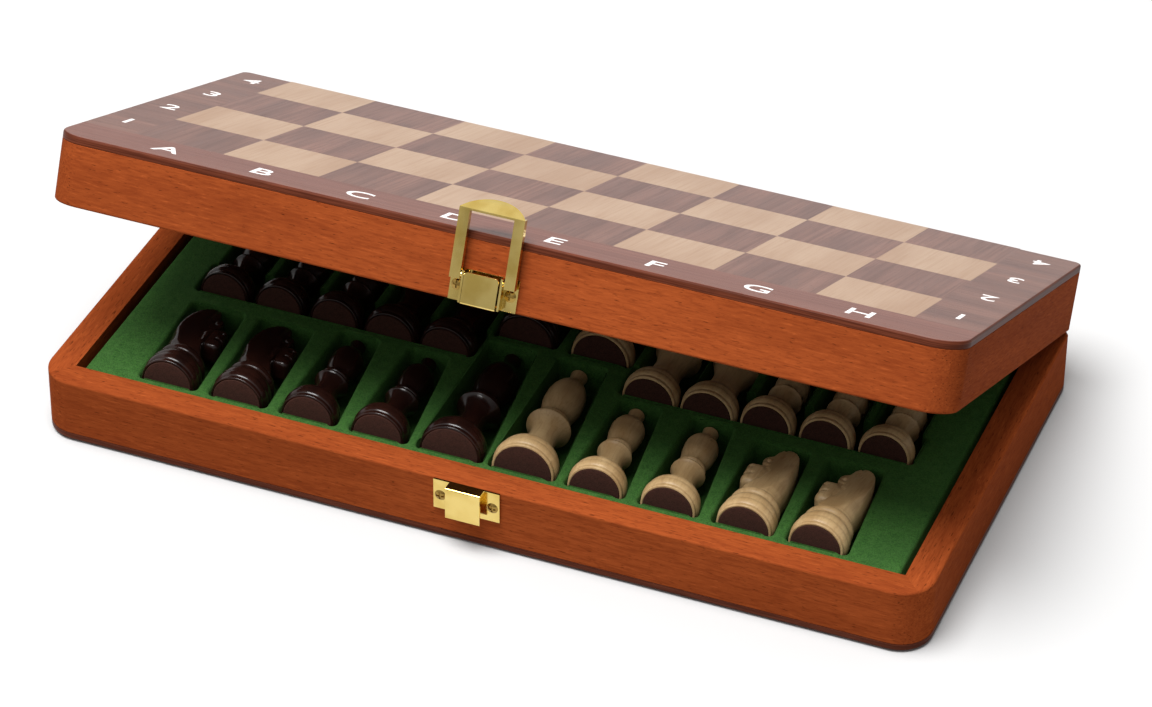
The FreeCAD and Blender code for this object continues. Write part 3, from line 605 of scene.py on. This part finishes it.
def box_cutter(half_x, half_y, z0, z1, turn):
    corners = [(x, y, z) for z in (z0, z1)
               for x, y in ((-half_x, -half_y), (half_x, -half_y), (half_x, half_y),
                            (-half_x, half_y))]
    faces = [(3, 2, 1, 0), (4, 5, 6, 7), (0, 1, 5, 4), (1, 2, 6, 5), (2, 3, 7, 6),
             (3, 0, 4, 7)]
    return [turn @ (Vector(c) * MM) for c in corners], faces


QUEEN_NOTCHES = 8
NOTCH_RADIUS, NOTCH_LENGTH = 1.3, 4
NOTCH_PLACE = (5.2, 0, 49.2)
MITRE_PLACE = (2.6, 0, 35.0)
MITRE_TILT = 38


def notch_cutters(kind):
    if kind == "rook":
        return [box_cutter(8, 0.9, 34.9, 38, Matrix.Rotation(turn, 4, "Z"))
                for turn in (0, math.pi / 2)]
    if kind == "bishop":
        place = Matrix.Translation(Vector(MITRE_PLACE) * MM)
        tilt = Matrix.Rotation(math.radians(MITRE_TILT), 4, "Y")
        return [box_cutter(0.45, 8, 0, 9, place @ tilt)]
    cutters = []
    for index in range(QUEEN_NOTCHES):
        turn = Matrix.Rotation(math.radians(360 / QUEEN_NOTCHES * index), 4, "Z")
        vertices, faces = lathe([(0, 0), (NOTCH_RADIUS, 0), (NOTCH_RADIUS, NOTCH_LENGTH),
                                 (0, NOTCH_LENGTH)], 24)
        place = Matrix.Translation(Vector(NOTCH_PLACE) * MM)
        lay = turn @ place @ Matrix.Rotation(math.pi / 2, 4, "Y")
        cutters.append(([lay @ Vector(v) for v in vertices], faces))
    return cutters


# ---------------------------------------------------------------- knights
HEAD_OUTLINE = ((-6.4, 13.0), (-5.4, 15.0), (-4.5, 16.8), (-3.9, 18.6), (-3.5, 21.0),
                (-3.3, 24.0), (-3.6, 28.0), (-4.3, 31.0), (-4.8, 33.2), (-4.9, 34.6),
                (-4.5, 36.0), (-3.6, 37.0), (-2.5, 37.4), (-2.2, 38.6), (-1.8, 40.4),
                (-0.8, 42.0), (0.8, 42.9), (2.6, 42.6), (4.3, 41.0), (5.6, 38.6),
                (6.6, 35.0), (7.2, 31.0), (7.6, 26.0), (7.7, 20.0), (7.0, 13.0))
MUZZLE_MIDDLE = (-5.5, 0.0, 25.9)
MUZZLE_HALF = (3.1, 3.9, 5.3)
MUZZLE_ROUND = 2.1
ROUND_LIMIT = ((13.0, 7.0), (14.5, 7.3), (16.0, 7.8), (20.0, 8.2), (23.5, 8.9), (27.0, 9.0),
               (31.0, 8.8), (35.6, 8.2), (39.0, 6.6), (41.4, 4.8), (42.4, 3.4), (43.0, 1.8))
HEAD_STEP = 0.42
# The flat cheeks pass this far out at this height; they lean in upwards and towards the muzzle.
CHEEK_OUT, CHEEK_HEIGHT = 6.1, 18.0
CHEEK_TILT, CHEEK_TURN = 8.5, 9.0
# Grooves in the cheeks: start and end as (x, z), half width and depth.
GROOVES = (
    ((-9.4, 24.2), (-6.0, 25.2), 0.45, 9.0),
    ((-5.4, 32.0), (-2.4, 30.6), 0.6, 0.5),
    ((-3.2, 30.4), (-1.2, 27.0), 0.5, 0.35),
    ((-1.2, 27.0), (-2.2, 21.6), 0.5, 0.35),
    ((0.4, 42.0), (0.9, 36.6), 0.5, 0.35))
EYE_X, EYE_HEIGHT = -2.9, 34.4
NOSTRIL = (-7.2, 3.5, 28.6)


def segment_distance(x, z, start, end):
    ax, az = start
    bx, bz = end
    length = (bx - ax) ** 2 + (bz - az) ** 2
    share = np.clip(((x - ax) * (bx - ax) + (z - az) * (bz - az)) / length, 0, 1)
    return np.hypot(x - ax - share * (bx - ax), z - az - share * (bz - az))


def outline_distance(x, z, outline):
    """Signed distance to a closed outline, negative inside."""
    nearest = np.full(x.shape, FAR)
    inside = np.zeros(x.shape, bool)
    for index, end in enumerate(outline):
        start = outline[index - 1]
        nearest = np.minimum(nearest, segment_distance(x, z, start, end))
        crosses = (start[1] > z) != (end[1] > z)
        rise = end[1] - start[1]
        if rise:
            at = start[0] + (z - start[1]) * (end[0] - start[0]) / rise
            inside ^= crosses & (x < at)
    return np.where(inside, -nearest, nearest)


def soft_max(a, b, width):
    share = np.clip(0.5 + (a - b) / (2 * width), 0, 1)
    return b + (a - b) * share + width * share * (1 - share)


def soft_min(a, b, width):
    return -soft_max(-a, -b, width)


def ball_distance(x, y, z, centre, radius):
    return np.sqrt((x - centre[0]) ** 2 + (y - centre[1]) ** 2 + (z - centre[2]) ** 2) - radius


def horse_head():
    """The head as a field of distances on a grid, turned into a mesh. Muzzle towards -X."""
    low = np.array([-10.4, -9.4, 12.4])
    high = np.array([9.8, 9.4, 44.4])
    axes = [np.arange(low[k], high[k], HEAD_STEP) for k in range(3)]
    x, y, z = np.meshgrid(*axes, indexing="ij")
    flat = outline_distance(x[:, 0, :], z[:, 0, :], HEAD_OUTLINE)[:, None, :]
    field = np.broadcast_to(flat, x.shape)
    heights, radii = zip(*ROUND_LIMIT)
    field = soft_max(field, np.hypot(x, y) - np.interp(z, heights, radii), 0.7)
    tilt, turn = math.radians(CHEEK_TILT), math.radians(CHEEK_TURN)
    side = np.abs(y)
    cheek = (-math.sin(turn) * x * math.cos(tilt)
             + math.cos(turn) * (side - CHEEK_OUT) * math.cos(tilt)
             + (z - CHEEK_HEIGHT) * math.sin(tilt))
    field = soft_max(field, cheek, 0.25)
    reach = [np.abs(axis - middle) - half + MUZZLE_ROUND for axis, middle, half
             in zip((x, y, z), MUZZLE_MIDDLE, MUZZLE_HALF)]
    muzzle = (np.sqrt(sum(np.maximum(r, 0) ** 2 for r in reach))
              + np.minimum(np.maximum.reduce(reach), 0) - MUZZLE_ROUND)
    field = soft_min(field, muzzle, 0.15)
    surface = CHEEK_OUT - (z - CHEEK_HEIGHT) * math.tan(tilt) + x * math.tan(turn)
    for start, end, width, depth in GROOVES:
        groove = segment_distance(x, z, start, end) - width
        groove = np.maximum(groove, surface - depth - side)
        field = soft_max(field, -groove, 0.35)
    here = (x, side, z)
    out = (CHEEK_OUT - (EYE_HEIGHT - CHEEK_HEIGHT) * math.tan(tilt) + EYE_X * math.tan(turn))
    field = soft_max(field, -ball_distance(*here, (EYE_X, out + 0.5, EYE_HEIGHT), 1.35), 0.3)
    field = soft_min(field, ball_distance(*here, (EYE_X, out - 0.45, EYE_HEIGHT), 0.95), 0.2)
    field = soft_max(field, -ball_distance(*here, NOSTRIL, 0.65), 0.3)
    return surface_net(field, low, HEAD_STEP)


def surface_net(field, low, step):
    """Vertices (metres) and quads of the field's zero surface."""
    cells = tuple(n - 1 for n in field.shape)
    total = np.zeros(cells + (3,))
    count = np.zeros(cells)
    edges = []
    for axis in range(3):
        lower = tuple(slice(0, -1) if k == axis else slice(None) for k in range(3))
        upper = tuple(slice(1, None) if k == axis else slice(None) for k in range(3))
        a, b = field[lower], field[upper]
        crossing = (a < 0) != (b < 0)
        share = np.where(crossing, a / np.where(crossing, a - b, 1), 0)
        point = np.stack(np.indices(a.shape), -1).astype(float)
        point[..., axis] += share
        others = [k for k in range(3) if k != axis]
        for back in ((0, 0), (0, 1), (1, 0), (1, 1)):
            cut = [slice(None)] * 3
            for k, shift in zip(others, back):
                cut[k] = slice(shift, field.shape[k] - 1 + shift)
            cut = tuple(cut)
            total += np.where(crossing[cut][..., None], point[cut], 0)
            count += crossing[cut]
        edges.append((axis, others, np.argwhere(crossing), a[crossing] < 0))
    filled = count > 0
    number = np.full(cells, -1)
    number[filled] = np.arange(filled.sum())
    vertices = (low + step * total[filled] / count[filled][:, None]) * MM
    faces = []
    for axis, others, places, inward in edges:
        corners = []
        for back in ((0, 0), (1, 0), (1, 1), (0, 1)):
            cell = places.copy()
            cell[:, others[0]] -= back[0]
            cell[:, others[1]] -= back[1]
            corners.append(number[tuple(cell.T)])
        quads = np.stack(corners, 1)
        flip = inward if axis == 1 else ~inward
        quads[flip] = quads[flip][:, ::-1]
        faces.extend(quads.tolist())
    return vertices, faces


def knight_mesh(head, mirrored):
    """A turned stand with the head on it, as one mesh of two closed shells."""
    vertices, faces = lathe(PROFILES["knight"])
    head_vertices, head_faces = head
    count = len(vertices)
    vertices = list(vertices) + [tuple(v) for v in head_vertices]
    faces = list(faces) + [tuple(count + i for i in face) for face in head_faces]
    if mirrored:
        vertices = [(-x, y, z) for x, y, z in vertices]
        faces = [face[::-1] for face in faces]
    return plain_mesh("knight", vertices, faces)


def men_places():
    """Every man's colour, name, place along X and yaw."""
    for colour, side in (("dark", -1), ("light", 1)):
        for slot, name in enumerate(FRONT_KINDS):
            yaw, aside = FRONT_LIE[colour][slot]
            yield colour, name, side * FRONT_PITCH * (slot + 0.5) + aside, yaw
        yield colour, "queen", side * ROYAL_X, 0.0
        for index in range(BACK_COUNT):
            x = side * (FIRST_BACK_X + BACK_PITCH * index)
            if index < 2:
                yield colour, "rook" + ("_inner", "_outer")[index], x, 0.0
            else:
                yield colour, "pawn_" + str(index - 1), x, 0.0
            yield colour, "pawn_" + str(index + 4), x, 0.0


def man_mesh(kind, colour, head, notched):
    if kind == "knight":
        return knight_mesh(head, colour == "dark")
    if kind in notched:
        return notched[kind].copy()
    return turned_mesh(kind)


def build_men():
    head = horse_head()
    notched = {kind: cut_notches(turned_mesh(kind), notch_cutters(kind))
               for kind in ("rook", "bishop", "queen")}
    for colour, name, x, yaw in men_places():
        kind = name.split("_")[0]
        node = colour + "_" + name
        place = placed(kind, yaw, x, node)
        mesh = man_mesh(kind, colour, head, notched)
        if colour == "dark" and kind == "bishop":
            mesh.transform(Matrix.Rotation(math.pi, 4, "Z"))
        mesh.materials.clear()
        made = finish_piece(node + "_wood", mesh, node, MEN_WOOD[colour],
                            KNIGHT_SMOOTH if kind == "knight" else TURNED_SMOOTH, place)
        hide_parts(node)
        finish_piece(node + "_felt", pad_mesh(SIZES[kind][1]), node, FELT,
                     PAD_SMOOTH, place)


build_men()


# ---------------------------------------------------------------- tray
TRAY_SMOOTH = 50
TRAY_TOP = 21.3
TRAY_HALF = 138.3
TRAY_FRONT, TRAY_BACK = -65.1, 65.0
TRAY_FOOT = 2.4
POCKET_CORNER = 2.0
TOP_ROUND = 1.1
FLOOR_ROUND = 0.7
WALL_SLOPE = 0.3
POCKET_FRONT = -61.5
HEAD_ENDS = {"king": (8.5, 3.0), "bishop": (6.8, 2.0), "knight": (9.4, 2.0)}
BENDS = (POCKET_FRONT, -12.0, -0.1)     # where the grid lines that follow the walls bend


AXIS_DEPTH = 1.4                # how far a man's axis lies under the tray's top
FLOOR_GAP, SIDE_GAP, END_GAP = 0.3, 0.8, 0.9
FRONT_FEET = -61.0
# Spans of y and half widths: the troughs that join the pockets of each back row, and then
# the pockets themselves.
INNER_TROUGH, OUTER_TROUGH = (-11.0, 5.0), (29.5, 43.5)
TROUGH_REACH = 10.0
QUEEN_SPAN, INNER_SPAN, OUTER_SPAN = (3.0, 61.1), (-10.5, 28.1), (30.0, 63.6)
QUEEN_HALF, INNER_HALF, OUTER_HALF = 11.1, 8.3, 6.8


def pocket_floor(kind):
    return TRAY_TOP - AXIS_DEPTH - SIZES[kind][1] - FLOOR_GAP


def straight(x0, x1, span, kind):
    return (x0, x1, x0, x1, *span, pocket_floor(kind))


def pockets():
    """Each pocket as (front x0, front x1, back x0, back x1, y0, y1, floor), millimetres."""
    found = []
    for side in (-1, 1):
        for slot, name in enumerate(FRONT_KINDS):
            kind = name.split("_")[0]
            x = side * FRONT_PITCH * (slot + 0.5)
            half = SIZES[kind][1] + SIDE_GAP
            head_half, skew = HEAD_ENDS[kind]
            found.append((x - half, x + half, x - skew - head_half, x - skew + head_half,
                          POCKET_FRONT, FRONT_FEET + SIZES[kind][0] + END_GAP,
                          pocket_floor(kind)))
        x0, x1 = sorted((side * (FIRST_BACK_X - TROUGH_REACH),
                         side * (FIRST_BACK_X + (BACK_COUNT - 1) * BACK_PITCH + TROUGH_REACH)))
        found.append(straight(x0, x1, INNER_TROUGH, "rook"))
        found.append(straight(x0, x1, OUTER_TROUGH, "pawn"))
        x = side * ROYAL_X
        found.append(straight(x - QUEEN_HALF, x + QUEEN_HALF, QUEEN_SPAN, "queen"))
        for index in range(BACK_COUNT):
            x = side * (FIRST_BACK_X + BACK_PITCH * index)
            kind = "rook" if index < 2 else "pawn"
            found.append(straight(x - INNER_HALF, x + INNER_HALF, INNER_SPAN, kind))
            found.append(straight(x - OUTER_HALF, x + OUTER_HALF, OUTER_SPAN, "pawn"))
    return found


OUTWARD_STEPS = (0.12, 0.3, 0.55, 0.8, 1.1, 1.6)
INWARD_STEPS = (0.12, 0.3, 0.42, 0.6, 0.8, 1.0, 1.4, 2.0)
GAP_SHARE = 0.47                # how much of the gap between two pockets the lines may take
LEAST_GAP = 0.085
ALONG_PITCH, ACROSS_PITCH = 2.2, 2.0


def inward_lines(wall, outward):
    return [round(wall - outward * step, 3) for step in INWARD_STEPS]


def wall_lines(wall, outward):
    """Places of the grid lines at a wall and on both sides of it."""
    return ([round(wall, 3)] + [round(wall + outward * step, 3) for step in OUTWARD_STEPS]
            + inward_lines(wall, outward))


def even_lines(low, high, pitch):
    count = int((high - low) / pitch)
    return [round(low + (high - low) * k / count, 3) for k in range(1, count)]


def least_gap(line, before):
    return min(line[k] - before[k] for k in range(3))


def along_grid(found):
    """The grid lines that run front to back: each line's x at the three bends."""
    knots = [(-TRAY_HALF,) * 3, (TRAY_HALF,) * 3]
    slanted = []
    extra = set(even_lines(-TRAY_HALF, TRAY_HALF, ALONG_PITCH))
    extra.update(inward_lines(-TRAY_HALF, -1) + inward_lines(TRAY_HALF, 1))
    for x0, x1, b0, b1, y0, y1, floor in found:
        for front, back, outward in ((x0, b0, -1), (x1, b1, 1)):
            if y0 != POCKET_FRONT:
                extra.update(wall_lines(front, outward))
                continue
            at = [front + (back - front) * (min(y, y1) - y0) / (y1 - y0) for y in BENDS]
            if y1 < BENDS[1]:
                at[2] = at[1]
            slanted.append((tuple(at), outward))
            knots.append(tuple(at))
    knots.sort(key=lambda knot: knot[2])
    knots = np.array(knots)
    lines = [tuple(k) + (True,) for k in knots]
    for at, outward in slanted:
        beside = knots[int(np.argmin(np.abs(knots[:, 2] - at[2]))) + outward]
        gaps = [abs(beside[k] - at[k]) for k in range(3)]
        scales = [min(1.0, GAP_SHARE * gap / OUTWARD_STEPS[-1]) for gap in gaps]
        for offset in OUTWARD_STEPS:
            lines.append(tuple(at[k] + outward * offset * scales[k] for k in range(3))
                         + (False,))
        for offset in INWARD_STEPS:
            lines.append(tuple(at[k] - outward * offset for k in range(3)) + (False,))
    for x in extra:
        if -TRAY_HALF < x < TRAY_HALF:
            lines.append((np.interp(x, knots[:, 2], knots[:, 0]),
                          np.interp(x, knots[:, 2], knots[:, 1]), x, False))
    lines.sort(key=lambda line: line[2])
    kept = [lines[0]]
    for line in lines[1:]:
        if least_gap(line, kept[-1]) >= LEAST_GAP:
            kept.append(line)
        elif line[3]:
            while len(kept) > 1 and not kept[-1][3] and least_gap(line, kept[-1]) < LEAST_GAP:
                kept.pop()
            kept.append(line)
    return np.array([line[:3] for line in kept])


def across_grid(found):
    """The grid lines that run from side to side."""
    walls = [(f[4], -1) for f in found] + [(f[5], 1) for f in found]
    lines = {TRAY_FRONT, TRAY_BACK, *even_lines(TRAY_FRONT, TRAY_BACK, ACROSS_PITCH)}
    lines.update(inward_lines(TRAY_FRONT, -1) + inward_lines(TRAY_BACK, 1))
    for wall, outward in walls:
        lines.update(wall_lines(wall, outward))
    exact = {round(wall, 3) for wall, outward in walls}
    ordered = sorted(line for line in lines if TRAY_FRONT <= line <= TRAY_BACK)
    kept = [ordered[0]]
    for line in ordered[1:]:
        if line - kept[-1] >= LEAST_GAP or line == ordered[-1]:
            kept.append(line)
        elif line in exact:
            kept[-1] = line
    return np.array(kept)


def rounded_step(distance, radius):
    """How far below the top a rounded edge is, at a distance inside the edge."""
    near = np.clip(distance, 0, radius)
    return radius - np.sqrt(radius ** 2 - (radius - near) ** 2)


def tray_height(x, y, found):
    """Height of the flocked surface over each grid point."""
    distance = np.full(x.shape, FAR)
    deepest = np.full(x.shape, TRAY_TOP)
    for x0, x1, b0, b1, y0, y1, floor in found:
        share = (y - y0) / (y1 - y0)
        left = ((x0 + (b0 - x0) * share) - x) * math.cos(math.atan((b0 - x0) / (y1 - y0)))
        right = (x - (x1 + (b1 - x1) * share)) * math.cos(math.atan((b1 - x1) / (y1 - y0)))
        dx = np.maximum(left, right) + POCKET_CORNER
        dy = np.maximum(y0 - y, y - y1) + POCKET_CORNER
        signed = np.hypot(np.maximum(dx, 0), np.maximum(dy, 0)) \
            + np.minimum(np.maximum(dx, dy), 0) - POCKET_CORNER
        distance = np.minimum(distance, signed)
        depth = -signed
        wall = np.clip(depth / WALL_SLOPE, 0, 1)
        slope = (TRAY_TOP - TOP_ROUND) * (1 - wall) + (floor + FLOOR_ROUND) * wall
        bottom = floor + rounded_step(depth - WALL_SLOPE, FLOOR_ROUND)
        shape = np.where(depth >= WALL_SLOPE, bottom, slope)
        deepest = np.where(depth > 0, np.minimum(deepest, shape), deepest)
    height = np.where(distance > 0, TRAY_TOP - rounded_step(distance, TOP_ROUND), deepest)
    edge = np.minimum.reduce([x + TRAY_HALF, TRAY_HALF - x, y - TRAY_FRONT, TRAY_BACK - y])
    return np.minimum(height, TRAY_TOP - rounded_step(edge, TOP_ROUND))


def tray_mesh():
    found = pockets()
    columns = along_grid(found)
    ys = across_grid(found)
    gx = np.stack([[np.interp(y, BENDS, line) for line in columns] for y in ys])
    gy = np.repeat(ys[:, None], len(columns), 1)
    gz = tray_height(gx, gy, found)
    rows, across = gx.shape
    vertices = np.stack([gx, gy, gz], -1).reshape(-1, 3) * MM
    index = np.arange(rows * across).reshape(rows, across)
    quads = np.stack([index[:-1, :-1], index[:-1, 1:], index[1:, 1:], index[1:, :-1]],
                     -1).reshape(-1, 4)
    border = (list(index[0, :]) + list(index[1:, -1]) + list(index[-1, -2::-1])
              + list(index[-2:0:-1, 0]))
    count = len(vertices)
    low = vertices[border].copy()
    low[:, 2] = TRAY_FOOT * MM
    vertices = np.vstack([vertices, low])
    faces = [tuple(q) for q in quads.tolist()]
    for step, here in enumerate(border):
        after = (step + 1) % len(border)
        faces.append((here, count + step, count + after, border[after]))
    faces.append(tuple(range(count + len(border) - 1, count - 1, -1)))
    return plain_mesh("tray_flock", vertices, faces)


tray = finish_piece("tray_flock", tray_mesh(), "base", FLOCK, TRAY_SMOOTH)
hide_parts("tray")


# ---------------------------------------------------------------- lettering
CAPITAL_SHARE = 0.70            # a capital's height in the font's own size
THICKENED = 0.01
WIDENED = 1.12
PAINT_HEIGHT = 0.02 * MM
LETTER_HEIGHT, DIGIT_HEIGHT = 8.2 * MM, 7.4 * MM
LETTER_Y = BACK - 138.5 * MM
FIRST_LETTER_X, LETTER_PITCH = -114.8, 32.8
FIRST_DIGIT_DOWN, SQUARE = 13.5, 33.0
LEFT_X, RIGHT_X = -141 * MM, 139.4 * MM
LID_RIGHT_DOWN = 1 * MM


def letter(name, text, body, x, y, upright, height):
    """One painted letter on the board, a few hundredths of a millimetre proud of it."""
    curve = bpy.data.curves.new(name, "FONT")
    curve.body = text
    curve.size = height / CAPITAL_SHARE
    curve.offset = height * THICKENED
    curve.align_x = "CENTER"
    curve.align_y = "CENTER"
    curve.extrude = PAINT_HEIGHT
    curve.bevel_depth = PAINT_HEIGHT
    curve.bevel_resolution = 1
    curve.resolution_u = 6
    drawn = bpy.data.objects.new(name + "_curve", curve)
    bpy.context.scene.collection.objects.link(drawn)
    bpy.context.view_layer.update()
    mesh = bpy.data.meshes.new_from_object(
        drawn.evaluated_get(bpy.context.evaluated_depsgraph_get()))
    bpy.data.objects.remove(drawn)
    places = np.array([vertex.co for vertex in mesh.vertices])
    mesh.transform(Matrix.Translation(-Vector((places.min(0) + places.max(0)) / 2)))
    mesh.transform(Matrix.Scale(WIDENED, 4, Vector((1, 0, 0))))
    if not upright:
        mesh.transform(Matrix.Rotation(math.pi, 4, "Z"))
    if body == "base":
        mesh.transform(Matrix.Rotation(math.pi, 4, "X"))
        mesh.transform(Matrix.Translation((x, y, 0)))
    else:
        mesh.transform(Matrix.Translation((x, y, SHUT_TOP)))
        mesh.transform(OPENED)
    mesh.materials.clear()
    made = finish_piece(name, mesh, body, PAINT)


for index, text in enumerate("ABCDEFGH"):
    x = (FIRST_LETTER_X + LETTER_PITCH * index) * MM
    for body in ("lid", "base"):
        letter(body + "_letter_" + text, text, body, x, LETTER_Y, True, LETTER_HEIGHT)
for index in range(4):
    y = BACK - (FIRST_DIGIT_DOWN + SQUARE * index) * MM
    for body, text, right_y in (("lid", str(4 - index), y - LID_RIGHT_DOWN),
                                ("base", str(5 + index), y)):
        letter(body + "_left_" + text, text, body, LEFT_X, y, True, DIGIT_HEIGHT)
        letter(body + "_right_" + text, text, body, RIGHT_X, right_y, False, DIGIT_HEIGHT)


# ---------------------------------------------------------------- floor, light, camera
SKY_AIM = (-0.4, 0.0, 1.0)
SKY_LOW, SKY_HIGH = 0.28, 1.05
FLOOR_TONE = 0.42
FLOOR_HALF, FLOOR_DROP = 6, 0.0006      # metres; the drop leaves room for the underside's paint
KEY_WATTS, KEY_SIZE = 125, 1.6
KEY_PLACE, KEY_TARGET = (-0.3, -0.5, 2.4), (0, 0, 0.03)
LENS, SENSOR_WIDTH, CLIP_START = 146.53, 36, 0.05
CAMERA_PLACE = (0.45254, -1.13415, 0.92033)
CAMERA_AZIMUTH, CAMERA_ELEVATION, CAMERA_ROLL = 21.47, 36.33, 0.559


def studio():
    bpy.context.scene.view_settings.view_transform = "Standard"
    world = bpy.data.worlds.new("studio")
    bpy.context.scene.world = world
    world.use_nodes = True
    tree = world.node_tree
    sky = tree.nodes["Background"]
    sky.inputs["Color"].default_value = (1.0, 0.99, 0.98, 1)
    aim = tree.nodes.new("ShaderNodeVectorMath")
    aim.operation = "DOT_PRODUCT"
    aim.inputs[1].default_value = SKY_AIM
    tree.links.new(tree.nodes.new("ShaderNodeTexCoord").outputs["Generated"], aim.inputs[0])
    strength = tree.nodes.new("ShaderNodeMapRange")
    tree.links.new(aim.outputs["Value"], strength.inputs["Value"])
    strength.inputs["To Min"].default_value = SKY_LOW
    strength.inputs["To Max"].default_value = SKY_HIGH
    tree.links.new(strength.outputs["Result"], sky.inputs["Strength"])
    corners = [(FLOOR_HALF * x, FLOOR_HALF * y, 0) for x, y in ((-1, -1), (1, -1), (1, 1), (-1, 1))]
    floor = finish_piece("floor", plain_mesh("floor", corners, [(0, 1, 2, 3)]))
    floor.location.z = -FLOOR_DROP
    s = Shader("floor", Roughness=0.9, Specular_IOR_Level=0.0)
    floor.data.materials.append(s.done((FLOOR_TONE, FLOOR_TONE, FLOOR_TONE, 1)))
    lamp("key", KEY_PLACE, KEY_TARGET, KEY_SIZE, KEY_WATTS)


def lamp(name, place, target, size, power):
    data = bpy.data.lights.new(name, "AREA")
    data.shape = "DISK"
    data.size = size
    data.energy = power
    made = bpy.data.objects.new(name, data)
    bpy.context.scene.collection.objects.link(made)
    made.location = place
    aim = Vector(target) - Vector(place)
    made.rotation_euler = aim.to_track_quat("-Z", "Y").to_euler()


def camera():
    data = bpy.data.cameras.new("camera")
    data.lens = LENS
    data.sensor_width = SENSOR_WIDTH
    data.clip_start = CLIP_START
    made = bpy.data.objects.new("camera", data)
    bpy.context.scene.collection.objects.link(made)
    azimuth, elevation, roll = (math.radians(a) for a in (CAMERA_AZIMUTH, CAMERA_ELEVATION,
                                                          CAMERA_ROLL))
    turn = (Matrix.Rotation(azimuth, 4, "Z") @ Matrix.Rotation(math.pi / 2 - elevation, 4, "X")
            @ Matrix.Rotation(roll, 4, "Z"))
    made.matrix_world = Matrix.Translation(CAMERA_PLACE) @ turn
    bpy.context.scene.camera = made


studio()
camera()
